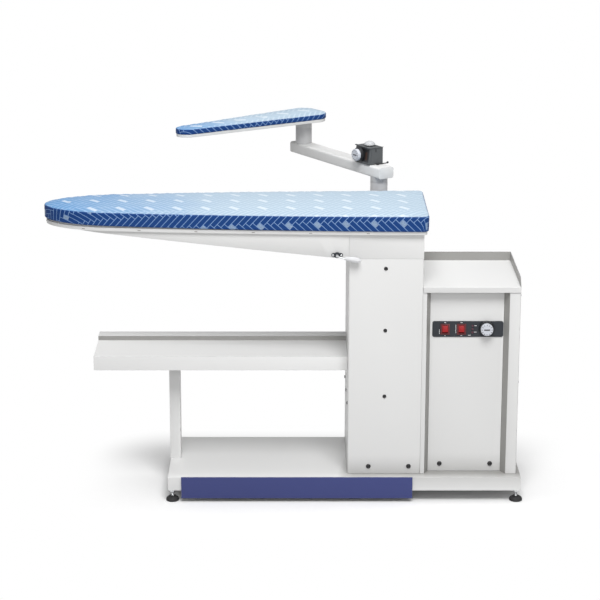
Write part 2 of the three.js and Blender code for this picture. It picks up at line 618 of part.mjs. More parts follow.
function cabinetFrontPanel() {
  const panel = block(recessLeft + seat, recessRight - seat, panelFront - seat, panelBack - seat,
    cabinetBottom + seat, cabinetTop - seat);
  const halfWidth = controls.width / 2 - controls.windowMargin;
  const halfHeight = controls.height / 2 - controls.windowMargin;
  return cut(panel, block(panelX - halfWidth, panelX + halfWidth, panelFront - overrun, panelBack + overrun,
    controlZ - halfHeight, controlZ + halfHeight));
}

function cabinetSideCover() {
  return block(cabinetRight - sheet, cabinetRight, front + sheet, rear - sheet, cabinetBottom + seat,
    cabinetTop - seat);
}

piece('cabinet_shell', cabinetShell(), paint);
piece('cabinet_front_panel', cabinetFrontPanel(), paint);
piece('cabinet_side_cover', cabinetSideCover(), paint);

// Iron shelf: a tray with a turned-down front lip, a rear upstand and a right-hand flange
const shelfTop = cabinetTop + seat + shelf.sheet;

function ironShelf() {
  const shelfFront = front - shelf.frontOverhang;
  const path = [xy(shelfFront, shelfTop - shelf.lip - shelf.sheet), xy(shelfFront, shelfTop), xy(rear,
    shelfTop),
    xy(rear, shelfTop + shelf.upstand)];
  const body = alongX(bentSheet(path, -shelf.sheet), cabinetLeft + seat, cabinetRight);
  const side = [xy(shelfFront, shelfTop - shelf.lip - shelf.sheet),
    xy(shelfFront + shelf.sheet, shelfTop - shelf.lip - shelf.sheet),
    xy(shelfFront + shelf.sheet, shelfTop - shelf.sheet), xy(rear, shelfTop - shelf.sheet),
    xy(rear, shelfTop + shelf.upstand), xy(shelfFront + shelf.flangeBevel, shelfTop + shelf.upstand),
    xy(shelfFront, shelfTop + shelf.upstand / 3)];
  return join(body, alongX(side, cabinetRight - shelf.sheet, cabinetRight));
}

piece('iron_shelf', ironShelf(), paint);

// Control plate with its rockers, lamps and thermostat
const rockerXs = [panelX + rocker.left, panelX + rocker.left + rocker.pitch];
const lampX = panelX + lamp.x;
const lampZs = Array.from({ length: lamp.count }, (_, i) => controlZ + (i - (lamp.count - 1) / 2) * lamp.pitch);
const dialX = panelX + dial.x;
const dialZ = controlZ + dial.rise;
const pinY = plateFront + rocker.thick / 2;

function controlPlate() {
  const outer = roundedRectangle(panelX - controls.width / 2, panelX + controls.width / 2,
    controlZ - controls.height / 2, controlZ + controls.height / 2, controls.corner);
  const holes = [...rockerXs.map((x) => block(x - rocker.width / 2 - seat, x + rocker.width / 2 + seat,
    plateFront - overrun, panelBack, controlZ - rocker.height / 2 - seat, controlZ + rocker.height / 2 + seat)),
  ...lampZs.map((z) => discY(lamp.radius + seat, lampX, z, plateFront - overrun, panelBack, roundSteps / 2)),
  discY(dial.bushRadius + seat, dialX, dialZ, plateFront - overrun, panelBack)];
  return cut(alongY(outer, plateFront, plateFront + controls.thick), ...holes);
}

function rockerHousing(x) {
  const bezelBack = plateFront - seat;
  const bezel = block(x - rocker.width / 2 - rocker.bezel, x + rocker.width / 2 + rocker.bezel,
    bezelBack - rocker.bezelThick, bezelBack, controlZ - rocker.height / 2 - rocker.bezel,
    controlZ + rocker.height / 2 + rocker.bezel);
  const body = block(x - rocker.width / 2, x + rocker.width / 2, bezelBack - rocker.bezelThick / 2,
    bezelBack + rocker.depth, controlZ - rocker.height / 2, controlZ + rocker.height / 2);
  const well = block(x - rocker.width / 2 + rocker.wall, x + rocker.width / 2 - rocker.wall,
    bezelBack - overrun,
    bezelBack + rocker.depth - rocker.wall, controlZ - rocker.height / 2 + rocker.wall / 2,
    controlZ + rocker.height / 2 - rocker.wall / 2);
  const pinHole = disc(rocker.pinRadius + seat, x - rocker.width / 2 + seat, x + rocker.width / 2 - seat,
    pinSteps)
    .rotateY(Math.PI / 2).translate(0, pinY, controlZ);
  return cut(join(bezel, body), well, pinHole);
}

// The rocker: a shallow V of a key on two pins, tipped to its off position
function rockerKey(x) {
  const half = rocker.height / 2 - rocker.wall / 2 - rocker.endRoom;
  const face = -rocker.thick - rocker.bezelThick / 2;
  const fall = Math.tan((rocker.throwAngle * Math.PI) / 180) * half;
  const profile = [xy(face + fall, -half), xy(rocker.pinRadius * 2, -half / 2), xy(rocker.pinRadius * 2,
    half / 2),
    xy(face + fall, half), xy(face + fall / 2, 0)];
  const inside = rocker.width / 2 - rocker.wall - seat;
  const key = alongX([...profile].reverse(), -inside, inside);
  const pinEnd = inside + rocker.pinLength;
  const pins = disc(rocker.pinRadius, -pinEnd, pinEnd, pinSteps).rotateY(Math.PI / 2);
  const body = join(key, pins);
  return body.rotateX((-rocker.throwAngle * Math.PI) / 180).translate(x, pinY, controlZ);
}

function lampBody(z) {
  const y = plateFront - seat;
  const profile = [[0, 0], [lamp.radius, 0], [lamp.radius, lamp.depth], [lamp.flangeRadius, lamp.depth],
    [lamp.flangeRadius, lamp.depth + lamp.flangeThick / 2], [lamp.radius, lamp.depth + lamp.flangeThick],
    [0, lamp.depth + lamp.flangeThick]];
  return turned(profile, roundSteps / 2).rotateX(Math.PI / 2).translate(lampX, y + lamp.depth, z);
}

const dialShaft = dial.standOff + dial.depth - dial.skirt - seat;

// A thermostat seen from its knob: body, bush and shaft along +Z, standing on z = 0
function thermostatBody(bushLength) {
  const half = dial.bodySize / 2;
  return join(block(-half, half, -half, half, -dial.bodyDepth, 0),
    disc(dial.bushRadius, -dial.bodyDepth / 2, bushLength), disc(dial.shaftRadius, 0, bushLength + dialShaft));
}

// A knob on +Z with a wide skirt, a finger neck and a flat face
function dialKnob() {
  const bore = dial.shaftRadius + seat;
  const body = turned([[0, 0], [dial.radius, 0], [dial.radius, dial.skirt],
    [dial.neckRadius + 2 * dial.standOff, dial.skirt + dial.standOff],
    [dial.neckRadius, dial.depth - dial.skirt], [dial.radius, dial.depth - dial.skirt / 2],
    [dial.radius, dial.depth], [0, dial.depth]]);
  return cut(body, disc(bore, -overrun, dial.depth - dial.skirt));
}

piece('control_plate', controlPlate(), darkPaint);
['vacuum', 'heater'].forEach((name, i) => {
  piece(`${name}_rocker_housing`, rockerHousing(rockerXs[i]), blackPlastic);
  piece(`${name}_rocker`, rockerKey(rockerXs[i]), redPlastic);
});
lampZs.forEach((z, i) => piece(`lamp_${i + 1}`, lampBody(z), redPlastic));
const facingFront = (geometry, y) => geometry.rotateX(Math.PI / 2).translate(dialX, y, dialZ);
const bodyFront = panelBack + 2 * seat;
piece('thermostat_body', facingFront(thermostatBody(bodyFront - plateFront), bodyFront), blackPlastic);
piece('thermostat_knob', facingFront(dialKnob(), plateFront - dial.standOff), whitePlastic);

// Cloth tray: a long channel fixed to the column at its right and standing on a post at its left
const trayRight = columnLeft - seat;
const trayLeft = trayRight - tray.length;
const trayZ = baseTop + tray.aboveBase;

function clothTray() {
  const y1 = tray.front + tray.floorDepth;
  const y2 = y1 + tray.ledge;
  const path = [xy(tray.front, trayZ - tray.lip), xy(tray.front, trayZ), xy(y1, trayZ),
    xy(y1, trayZ + tray.step), xy(y2, trayZ + tray.step), xy(y2, trayZ + tray.step - tray.rearLip)];
  const channel = alongX(bentSheet(path, -sheet), trayLeft, trayRight);
  const end = [xy(tray.front, trayZ - tray.lip), xy(y2, trayZ - tray.lip / 2),
    xy(y2, trayZ + tray.step - sheet / 2), xy(y1, trayZ + tray.step - sheet / 2),
    xy(y1, trayZ - sheet / 2), xy(tray.front, trayZ - sheet / 2)];
  return join(channel, alongX(end, trayRight - sheet, trayRight), alongX(end, trayLeft, trayLeft + sheet));
}

function trayPost() {
  const y0 = tray.front + (tray.floorDepth + tray.ledge - post.depth) / 2;
  const x1 = baseLeft + post.width;
  const path = [xy(x1, y0 + post.depth), xy(x1, y0), xy(baseLeft, y0), xy(baseLeft, y0 + post.depth)];
  return upright(bentSheet(path, sheet).reverse(), baseTop + seat, trayZ - sheet - seat);
}

piece('cloth_tray', clothTray(), paint);
piece('tray_post', trayPost(), paint);

// Pedal: a blue bar on two arms that turn on rods in the base's lugs, with a spring and a switch
const pedalTop = pedal.bottom + pedal.height;

function pedalBar() {
  const bar = block(pedalLeft, pedalRight, -pedal.gap - pedal.thick, -pedal.gap, pedal.bottom, pedalTop);
  const arms = armXs.map((x) => {
    const side = [xy(-pedal.gap - pedal.thick / 2, pedal.armBottom), xy(pedal.armToeDepth, pedal.armBottom),
      xy(pedal.pivotBack, pivotZ - pedal.bossRadius), xy(pedal.pivotBack, pivotZ + pedal.bossRadius),
      xy(pedal.armToeDepth, pedal.armTop), xy(-pedal.gap - pedal.thick / 2, pedal.armTop)];
    return join(alongX(side, x - pedal.armThick / 2, x + pedal.armThick / 2),
      disc(pedal.bossRadius, x - pedal.armThick / 2, x + pedal.armThick / 2).rotateY(Math.PI / 2)
        .translate(0, pedal.pivotBack, pivotZ));
  });
  const bore = disc(pedal.rodRadius + pedal.runClearance, pedalLeft, pedalRight).rotateY(Math.PI / 2)
    .translate(0, pedal.pivotBack, pivotZ);
  return cut(join(bar, ...arms), bore);
}

const armTopAt = (y) => pedal.armTop + ((pivotZ + pedal.bossRadius - pedal.armTop) * (y - pedal.armToeDepth))
  / (pedal.pivotBack - pedal.armToeDepth);

function pedalRod() {
  const end = lugOffset + pedal.lugThick;
  return disc(pedal.rodRadius, armXs[0] - end, armXs[1] + end).rotateY(Math.PI / 2)
    .translate(0, pedal.pivotBack, pivotZ);
}

// A coil standing on Z from z0 to z1, wire included
function coil(radius, wire, turns, z0, z1) {
  class Helix extends THREE.Curve {
    getPoint(t) {
      const a = t * turns * 2 * Math.PI;
      return new THREE.Vector3(radius * Math.cos(a), radius * Math.sin(a),
        z0 + wire + t * (z1 - z0 - 2 * wire));
    }
  }
  const sides = pedalSpring.wireSideCount;
  const section = new THREE.Shape(Array.from({ length: sides }, (_, i) => {
    const a = (i / sides) * 2 * Math.PI;
    return xy(wire * Math.cos(a), wire * Math.sin(a));
  }));
  return new THREE.ExtrudeGeometry(section, { steps: turns * pedalSpring.stepsPerTurnCount,
    extrudePath: new Helix() });
}

function pedalSwitchBody() {
  const x = armXs[1];
  const top = baseTop - base.sheet - seat;
  const y0 = pedalSwitch.back - pedalSwitch.depth / 2;
  return join(block(x - pedalSwitch.width / 2, x + pedalSwitch.width / 2, y0, y0 + pedalSwitch.depth,
    top - pedalSwitch.height, top), disc(pedalSwitch.plungerRadius,
    armTopAt(pedalSwitch.back + pedalSwitch.plungerRadius) + pedalSwitch.plungerGap,
      top - pedalSwitch.height / 2,
    pinSteps)
    .translate(x, pedalSwitch.back, 0));
}

piece('pedal_bar', pedalBar(), bluePaint);
piece('pedal_rod', pedalRod(), steel);
const springFoot = armTopAt(pedalSpring.back + pedalSpring.radius + pedalSpring.wire) + seat;
piece('pedal_spring', coil(pedalSpring.radius, pedalSpring.wire, pedalSpring.turnCount, springFoot,
  baseTop - base.sheet - seat).translate(armXs[0], pedalSpring.back, 0), steel);
piece('pedal_switch', pedalSwitchBody(), blackPlastic);

// Fan in the column: a deck, a scroll case over it, a wheel inside and the motor below
function fanDeck() {
  const x0 = columnLeft + sheet + seat;
  const x1 = columnRight - sheet - seat;
  const y0 = front + sheet + column.cornerRadius;
  const y1 = rear - sheet - column.cornerRadius;
  const top = deckTop;
  const folds = [xy(x0, top - column.flange), xy(x0, top), xy(x1, top), xy(x1, top - column.flange)];
  const deck = alongY(bentSheet(folds, -fan.deckSheet), y0, y1);
  return cut(deck, disc(fan.shaftHole, top - overrun * 2, top + overrun).translate(fanX, fanY, 0));
}

// The scroll's outline grows from scrollStart to scrollEnd and leaves toward the back
function scrollOutline(inset, tail) {
  const spiral = Array.from({ length: fan.scrollSteps + 1 }, (_, i) => {
    const share = i / fan.scrollSteps;
    const a = -share * fan.scrollTurnShare * 2 * Math.PI;
    const r = fan.scrollEnd + (fan.scrollStart - fan.scrollEnd) * share - inset;
    return xy(fanX + r * Math.cos(a), fanY + r * Math.sin(a));
  });
  const x1 = fanX + fan.scrollEnd - inset;
  const x0 = x1 - fan.outletWidth + 2 * inset;
  return [xy(x1, tail), ...spiral, xy(x0, fanY + fan.scrollStart), xy(x0, tail)].reverse();
}

function fanScroll() {
  const end = rear - sheet - seat;
  const outer = upright(scrollOutline(0, end), scrollBottom, scrollTop);
  const inner = upright(scrollOutline(sheet, end + overrun), scrollBottom + sheet, scrollTop - sheet);
  return cut(outer, inner, disc(fan.inletRadius, scrollTop - overrun, scrollTop + overrun).translate(fanX,
    fanY, 0),
    disc(fan.shaftHole, scrollBottom - overrun, scrollBottom + overrun).translate(fanX, fanY, 0));
}

const wheelBottom = scrollBottom + fan.wheelLift;
const shaftTop = wheelBottom + fan.wheelHeight / 2;

function fanMotor() {
  const top = deckTop - fan.deckSheet - seat;
  const bottom = top - fan.flangeThick - fan.motorHeight;
  const r = fan.motorRadius;
  return turned([[0, bottom], [r / 2, bottom], [r, bottom + r / 4], [r, top - fan.flangeThick],
    [fan.flangeRadius, top - fan.flangeThick], [fan.flangeRadius, top], [fan.shaftRadius, top],
    [fan.shaftRadius, shaftTop], [0, shaftTop]]).translate(fanX, fanY, 0);
}

const bladeShares = [[0, 0], [0.5, 0], [1, 0], [1, 1], [0.5, 1], [0, 1]];

function fanWheel() {
  const top = wheelBottom + fan.wheelHeight;
  const back = disc(fan.wheelRadius, wheelBottom, wheelBottom + fan.plate);
  const ring = pipe(fan.wheelRadius, fan.eyeRadius, top - fan.plate, top);
  const hub = disc(fan.hubRadius, wheelBottom, shaftTop + fan.plate);
  const blades = Array.from({ length: fan.bladeCount }, (_, i) => {
    const at = (share, side) => {
      const r = fan.eyeRadius + (fan.wheelRadius - fan.plate - fan.eyeRadius) * share;
      const a = (i / fan.bladeCount) * 2 * Math.PI - fan.bladeSweepAngle * share;
      return xy(r * Math.cos(a) - side * Math.sin(a), r * Math.sin(a) + side * Math.cos(a));
    };
    const points = bladeShares.map(([share, side]) => at(share, side * fan.bladeThick));
    return upright(points, wheelBottom + fan.plate / 2, top - fan.plate / 2);
  });
  return cut(join(back, ring, hub, ...blades), disc(fan.shaftRadius + fan.boreClearance, wheelBottom - overrun,
    shaftTop + seat)).translate(fanX, fanY, 0);
}

piece('fan_deck', fanDeck(), steel);
piece('fan_scroll', fanScroll(), steel);
piece('fan_motor', fanMotor(), castAluminium);
piece('fan_wheel', fanWheel(), castAluminium);

// Electrics on the cabinet's back wall, and the gland that the supply cable would come through
const wallFront = rear - sheet;
const panelPlateZ = cabinetBottom + panelPlate.aboveBase;

function electricsPlate() {
  const x0 = (cabinetLeft + cabinetRight - panelPlate.width) / 2;
  const x1 = x0 + panelPlate.width;
  const y = wallFront - seat - panelPlate.fold;
  const path = [xy(x0, y + panelPlate.fold), xy(x0, y), xy(x1, y), xy(x1, y + panelPlate.fold)];
  return upright(bentSheet(path, panelPlate.thick), panelPlateZ, panelPlateZ + panelPlate.height);
}

function contactorBlock() {
  const x0 = (cabinetLeft + cabinetRight - contactor.width) / 2;
  const y1 = wallFront - seat - panelPlate.fold - seat;
  const z0 = panelPlateZ + contactor.margin;
  const z1 = z0 + contactor.height;
  const y0 = y1 - contactor.depth;
  const stepY = y0 + contactor.step;
  const side = [xy(y1, z0), xy(y1, z1), xy(stepY, z1), xy(stepY, z1 - contactor.step), xy(y0,
    z1 - contactor.step),
    xy(y0, z0 + contactor.step), xy(stepY, z0 + contactor.step), xy(stepY, z0)];
  return alongX(side.reverse(), x0, x0 + contactor.width);
}

function cableGland() {
  const x = cabinetRight - gland.inset;
  const head = disc(gland.headRadius, 0, gland.headLength, 6);
  const body = disc(gland.radius, -gland.bodyLength, overrun);
  return cut(join(head, body), disc(gland.bore, -gland.bodyLength - overrun, gland.headLength + overrun))
    .rotateX(-Math.PI / 2).translate(x, rear + seat, glandZ);
}

piece('electrics_plate', electricsPlate(), steel);
piece('contactor', contactorBlock(), blackPlastic);
piece('cable_gland', cableGland(), blackPlastic);

// Bracket duct behind the column that carries the arm's post
function armBracket() {
  const half = bracket.width / 2;
  const y0 = rearCoverBack + seat;
  const y1 = postY + arm.radius + bracket.rearMargin;
  const body = cut(block(postX - half, postX + half, y0, y1, bracketBottom, bracketTop),
    block(postX - half + bracket.sheet, postX + half - bracket.sheet, y0 - overrun, y1 - bracket.sheet,
      bracketBottom + bracket.sheet, bracketTop - bracket.sheet));
  const collar = disc(arm.radius + seat + bracket.collarWall, bracketTop - bracket.sheet / 2,
    bracketTop + bracket.collar).translate(postX, postY, 0);
  return cut(join(body, collar), disc(arm.radius + seat, bracketTop - overrun,
    bracketTop + bracket.collar + overrun)
    .translate(postX, postY, 0));
}

const armTop = armUnderside + arm.height;
const collarBottom = armUnderside - arm.seam;

function armPost() {
  const bottom = bracketBottom + bracket.sheet + seat;
  const spigot = arm.radius - arm.wall;
  const inner = spigot - arm.spigotWall;
  const windowBottom = bottom + bracket.sheet;
  const tube = turned([[inner, bottom], [arm.radius, bottom], [arm.radius, collarBottom - seat],
    [spigot, collarBottom - seat], [spigot, armUnderside], [inner, armUnderside], [inner, bottom]]);
  const airWindow = block(-spigot / 2, spigot / 2, -arm.radius - overrun, 0, windowBottom,
    bracketTop - 4 * bracket.sheet);
  return cut(tube, airWindow).translate(postX, postY, 0);
}

piece('arm_bracket', armBracket(), paint);
piece('arm_post', armPost(), pillarPaint);

// The swivel arm, drawn in its own frame: X along the arm, Y to its front side
const armGroup = new THREE.Group();
armGroup.position.set(postX, postY, 0);
armGroup.rotation.z = THREE.MathUtils.degToRad(arm.angle);
table.add(armGroup);
const lockX = lock.along;
const pillarSpigot = pillar.radius - arm.wall;
const pillarSeam = armTop + seat + pillar.lower;
const sleeveUnderside = pillarSeam + sleeve.neck;

function armTube() {
  const x0 = -arm.tail;
  const x1 = arm.reach + arm.tail;
  const half = arm.width / 2;
  const outer = roundedRectangle(-half, half, armUnderside, armTop, arm.cornerRadius);
  const inner = roundedRectangle(-half + arm.sheet, half - arm.sheet, armUnderside + arm.sheet,
    armTop - arm.sheet,
    arm.cornerRadius - arm.sheet);
  const shell = cut(alongX(outer, x0, x1), alongX(inner, x0 + arm.sheet, x1 - arm.sheet));
  const collar = disc(arm.radius, collarBottom, armUnderside + arm.sheet / 2);
  const bore = disc(arm.radius - arm.wall + arm.spigotClear, collarBottom - overrun,
    armUnderside + arm.sheet + overrun);
  const pillarHole = disc(pillarSpigot + seat, armTop - overrun, armTop + overrun).translate(arm.reach, 0, 0);
  const spindleHole = disc(lock.spindle + seat, armTop - overrun, armTop + overrun,
    pinSteps).translate(lockX, 0, 0);
  return cut(join(shell, collar), bore, pillarHole, spindleHole);
}

function sleevePillar() {
  const inner = pillar.bore;
  const spigotBottom = armTop - pillar.spigot;
  return turned([[inner, spigotBottom], [pillarSpigot, spigotBottom], [pillarSpigot, armTop + seat],
    [pillar.radius, armTop + seat], [pillar.radius, pillarSeam], [pillarSpigot, pillarSeam],
    [pillarSpigot, sleeveUnderside - seat], [inner, sleeveUnderside - seat], [inner, spigotBottom]])
    .translate(arm.reach, 0, 0);
}

piece('arm_tube', armTube(), paint, armGroup);
piece('sleeve_pillar', sleevePillar(), pillarPaint, armGroup);

// Sleeve board on the pillar, in its own frame: nose toward -X from its wide end
const sleeveGroup = new THREE.Group();
sleeveGroup.position.set(arm.reach, 0, 0);
sleeveGroup.rotation.z = THREE.MathUtils.degToRad(sleeve.angle) + Math.PI;
armGroup.add(sleeveGroup);
const onSleeve = (geometry) => geometry.translate(sleeve.tail, 0, 0);

function sleevePan() {
  const rim = upright(outline(sleeve, sleeveShares), sleeveUnderside, sleeveUnderside + sleeve.lipHeight);
  const wall = upright(outline(sleeve, sleeveShares, sleeve.wallInset), sleeveUnderside,
    sleeveUnderside + sleeve.wallHeight);
  const hollow = upright(outline(sleeve, sleeveShares, sleeve.wallInset + sleeve.rim), sleeveUnderside + sheet,
    sleeveUnderside + sleeve.wallHeight + overrun);
  const collar = disc(pillar.radius, pillarSeam + seat, sleeveUnderside + sheet / 2);
  const pan = join(onSleeve(cut(join(rim, wall), hollow)), collar);
  return cut(pan, disc(pillarSpigot + arm.spigotClear, pillarSeam - overrun, sleeveUnderside + overrun));
}

piece('sleeve_pan', sleevePan(), paint, sleeveGroup);
piece('sleeve_cover', onSleeve(paddedCover(sleeve, sleeveShares, sleeveUnderside + sleeve.lipHeight + seat)),
  blueCloth, sleeveGroup);

// Control housing on the arm, open below, with the sleeve thermostat, its knob and a mushroom button
const boxBase = armTop + seat;
const boxRoof = boxBase + box.height;
const knobX = box.start + box.knobAlong;
const knobZ = boxBase + box.knobRise;
const slope = (box.footReach - box.topReach) / box.height;
const faceAt = (z) => box.footReach - slope * (z - boxBase);
const buttonX = box.start + box.length / 2;

function controlHousing() {
  const section = (wall, below) => [xy(-box.backReach + wall, boxBase - below),
    xy(faceAt(boxBase - below) - wall, boxBase - below), xy(faceAt(boxRoof - wall) - wall, boxRoof - wall),
    xy(-box.backReach + wall, boxRoof - wall)];
  const outer = alongX(section(0, 0), box.start, box.start + box.length);
  const inner = alongX(section(box.sheet, overrun), box.start + box.sheet, box.start + box.length - box.sheet);
  const knobHole = discY(dial.bushRadius + seat, knobX, knobZ, 0, box.footReach + overrun);
  const stemHole = disc(box.buttonStem + seat, boxRoof - overrun, boxRoof + overrun).translate(buttonX, 0, 0);
  return cut(outer, inner, knobHole, stemHole);
}

const facingArmFront = (geometry, y) => geometry.rotateX(-Math.PI / 2).translate(knobX, y, knobZ);
const boxFaceY = faceAt(knobZ + dial.bodySize / 2) - box.sheet - seat;
const knobBackY = box.footReach + dial.standOff;

function mushroomButton() {
  const under = boxRoof + box.buttonTravel + seat;
  const edge = under + box.buttonHeight / 4;
  const cap = Array.from({ length: arcSteps + 1 }, (_, i) => {
    const a = (i / arcSteps) * (Math.PI / 2);
    return [box.buttonRadius * Math.cos(a), edge + (box.buttonHeight - box.buttonHeight / 4) * Math.sin(a)];
  });
  cap[arcSteps][0] = 0;
  const stemBottom = boxRoof - box.sheet - box.stemBelow;
  return turned([[0, stemBottom], [box.buttonStem, stemBottom], [box.buttonStem, under], [box.buttonRadius,
    under], ...cap]).translate(buttonX, 0, 0);
}

piece('arm_control_housing', controlHousing(), darkPaint, armGroup);
piece('arm_thermostat_body', facingArmFront(thermostatBody(knobBackY - dial.standOff - boxFaceY), boxFaceY),
  blackPlastic, armGroup);
piece('arm_thermostat_knob', facingArmFront(dialKnob(), knobBackY), whitePlastic, armGroup);
piece('arm_button', mushroomButton(), whitePlastic, armGroup);

// Air lever of the arm: a rod with a ball on a spindle that carries a flap inside the arm
function airLever() {
  const rodZ = armTop + seat + lock.hubHeight / 2;
  const hub = disc(lock.hubRadius, armTop + seat, armTop + seat + lock.hubHeight);
  const spindle = disc(lock.spindle, armUnderside + arm.sheet + seat, rodZ, pinSteps);
  const rod = disc(lock.rodRadius, -lock.rodLength, 0, pinSteps).rotateX(-Math.PI / 2).translate(0, 0, rodZ);
  const ball = new THREE.SphereGeometry(lock.ballRadius, pinSteps, arcSteps + 2)
    .translate(0, -lock.rodLength, rodZ + lock.ballRadius / 2);
  return join(hub, spindle, rod, ball).translate(lockX, 0, 0);
}

function airFlap() {
  const z0 = armUnderside + (arm.height - lock.flapHeight) / 2;
  const plate = block(-lock.flapThick / 2, lock.flapThick / 2, -lock.flapWidth / 2, lock.flapWidth / 2, z0,
    z0 + lock.flapHeight);
  const hub = disc(lock.spindle + 2 * lock.flapThick, z0, z0 + lock.flapHeight, pinSteps);
  const bore = disc(lock.spindle + seat, z0 - overrun, z0 + lock.flapHeight + overrun, pinSteps);
  return cut(join(plate, hub), bore).translate(lockX, 0, 0);
}

piece('air_lever', airLever(), steel, armGroup);
piece('air_flap', airFlap(), steel, armGroup);

// The origin is the middle of the whole table's footprint, at the floor
const extent = new THREE.Box3().setFromObject(table, true);
const centre = extent.getCenter(new THREE.Vector3());
table.position.set(-centre.x, -centre.y, -extent.min.z);
export default table;
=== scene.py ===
import json
import math

import bmesh
import bpy
from mathutils import Matrix, Vector, noise

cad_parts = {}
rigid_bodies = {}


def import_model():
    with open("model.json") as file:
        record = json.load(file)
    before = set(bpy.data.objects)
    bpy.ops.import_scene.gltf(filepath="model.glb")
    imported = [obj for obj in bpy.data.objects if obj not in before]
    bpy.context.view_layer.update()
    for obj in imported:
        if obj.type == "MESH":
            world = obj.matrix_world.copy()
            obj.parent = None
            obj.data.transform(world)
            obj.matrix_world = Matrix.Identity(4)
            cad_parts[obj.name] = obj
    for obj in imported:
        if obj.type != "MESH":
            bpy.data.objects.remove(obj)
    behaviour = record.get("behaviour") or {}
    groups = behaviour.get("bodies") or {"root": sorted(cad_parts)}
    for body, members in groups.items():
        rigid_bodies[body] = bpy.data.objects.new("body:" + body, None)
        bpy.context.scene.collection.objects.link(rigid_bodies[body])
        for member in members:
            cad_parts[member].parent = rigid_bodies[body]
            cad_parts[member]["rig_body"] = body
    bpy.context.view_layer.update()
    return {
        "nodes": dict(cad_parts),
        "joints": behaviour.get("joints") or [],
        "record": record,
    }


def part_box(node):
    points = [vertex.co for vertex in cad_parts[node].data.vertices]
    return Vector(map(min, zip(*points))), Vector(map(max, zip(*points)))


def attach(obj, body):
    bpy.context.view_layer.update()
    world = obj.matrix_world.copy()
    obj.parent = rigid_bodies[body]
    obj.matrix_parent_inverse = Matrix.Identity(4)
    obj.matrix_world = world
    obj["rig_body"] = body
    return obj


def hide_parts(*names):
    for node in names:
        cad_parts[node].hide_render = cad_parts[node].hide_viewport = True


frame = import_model()
nodes = frame["nodes"]
joints = {joint["name"]: joint for joint in frame["joints"]}

MM = 0.001


# Camera, floor and lamps

def set_camera():
    data = bpy.data.cameras.new("camera")
    data.sensor_width = 36
    data.lens = 126.6
    data.shift_x = 0.0167
    camera = bpy.data.objects.new("camera", data)
    camera.location = (0.01737, -6.5679, 2.3585)
    camera.rotation_euler = (math.radians(74.4), 0, 0)
    bpy.context.scene.collection.objects.link(camera)
    bpy.context.scene.camera = camera


def add_lamp(name, place, target, size, watts):
    data = bpy.data.lights.new(name, "AREA")
    data.shape = "RECTANGLE"
    data.size, data.size_y = size
    data.energy = watts
    lamp = bpy.data.objects.new(name, data)
    lamp.location = place
    lamp.rotation_euler = (Vector(target) - Vector(place)).to_track_quat("-Z", "Y").to_euler()
    bpy.context.scene.collection.objects.link(lamp)


# Shader building blocks

def feed(tree, socket, value):
    """Feeds a socket from another socket, a number, a colour or a vector."""
    if isinstance(value, bpy.types.NodeSocket):
        tree.links.new(value, socket)
    else:
        socket.default_value = value


def add_node(tree, kind, inputs, settings):
    """Adds a node and fills its inputs, given by place or by name."""
    made = tree.nodes.new(kind)
    for key, value in settings.items():
        setattr(made, key, value)
    for key, value in inputs.items() if isinstance(inputs, dict) else enumerate(inputs):
        feed(tree, made.inputs[key], value)
    return made


def add_inputs(tree, inputs):
    for label, kind, value in inputs:
        socket = tree.interface.new_socket(label, in_out="INPUT", socket_type="NodeSocket" + kind)
        if value is not None:
            socket.default_value = value


def shader(tree, kind, inputs=(), **settings):
    return add_node(tree, "ShaderNode" + kind, inputs, settings)


def calc(tree, operation, *values):
    return shader(tree, "Math", values, operation=operation).outputs[0]


def mixed(tree, share, first, second):
    """A colour between two, by share."""
    return shader(tree, "Mix", {0: share, 6: first, 7: second}, data_type="RGBA").outputs[2]


def between(tree, share, first, second):
    """A number between two, by share."""
    return shader(tree, "Mix", {0: share, 2: first, 3: second}).outputs[0]


def spread(tree, value, low, high, to_low=0.0, to_high=1.0):
    """Maps low..high to to_low..to_high with soft ends."""
    inputs = {0: value, 1: low, 2: high, 3: to_low, 4: to_high}
    return shader(tree, "MapRange", inputs, interpolation_type="SMOOTHSTEP").outputs[0]


def cloudy(tree, place, scale, detail):
    """A noise about 0.5."""
    return shader(tree, "TexNoise", {"Vector": place, "Scale": scale, "Detail": detail}).outputs[0]


def swung(tree, value, amount, middle):
    """A number that follows a noise about 0.5 up and down from a middle."""
    return calc(tree, "MULTIPLY_ADD", calc(tree, "SUBTRACT", value, 0.5), amount, middle)


def scaled(tree, vector, factor):
    return shader(tree, "VectorMath", [vector, factor], operation="MULTIPLY").outputs[0]


def attribute(tree, name):
    return shader(tree, "Attribute", attribute_name=name).outputs["Fac"]


def object_place(tree):
    return shader(tree, "TexCoord").outputs["Object"]


def shader_group(name, inputs, outputs):
    group = bpy.data.node_groups.new(name, "ShaderNodeTree")
    add_inputs(group, inputs)
    for label, kind in outputs:
        group.interface.new_socket(label, in_out="OUTPUT", socket_type="NodeSocket" + kind)
    return group, group.nodes.new("NodeGroupInput").outputs, group.nodes.new("NodeGroupOutput").inputs


def place_group(tree, group, **values):
    made = tree.nodes.new("ShaderNodeGroup")
    made.node_tree = group
    for key, value in values.items():
        feed(tree, made.inputs[key], value)
    return made.outputs


FINISH_OUTPUTS = [("Colour", "Color"), ("Roughness", "Float"), ("Height", "Float")]
# The grey of painted shade, laid over a coat where the mesh marks shade in corners, on inner faces and at feet
SHADE_GREY = (0.16, 0.155, 0.14, 1)
FULL_SHADE = 0.75


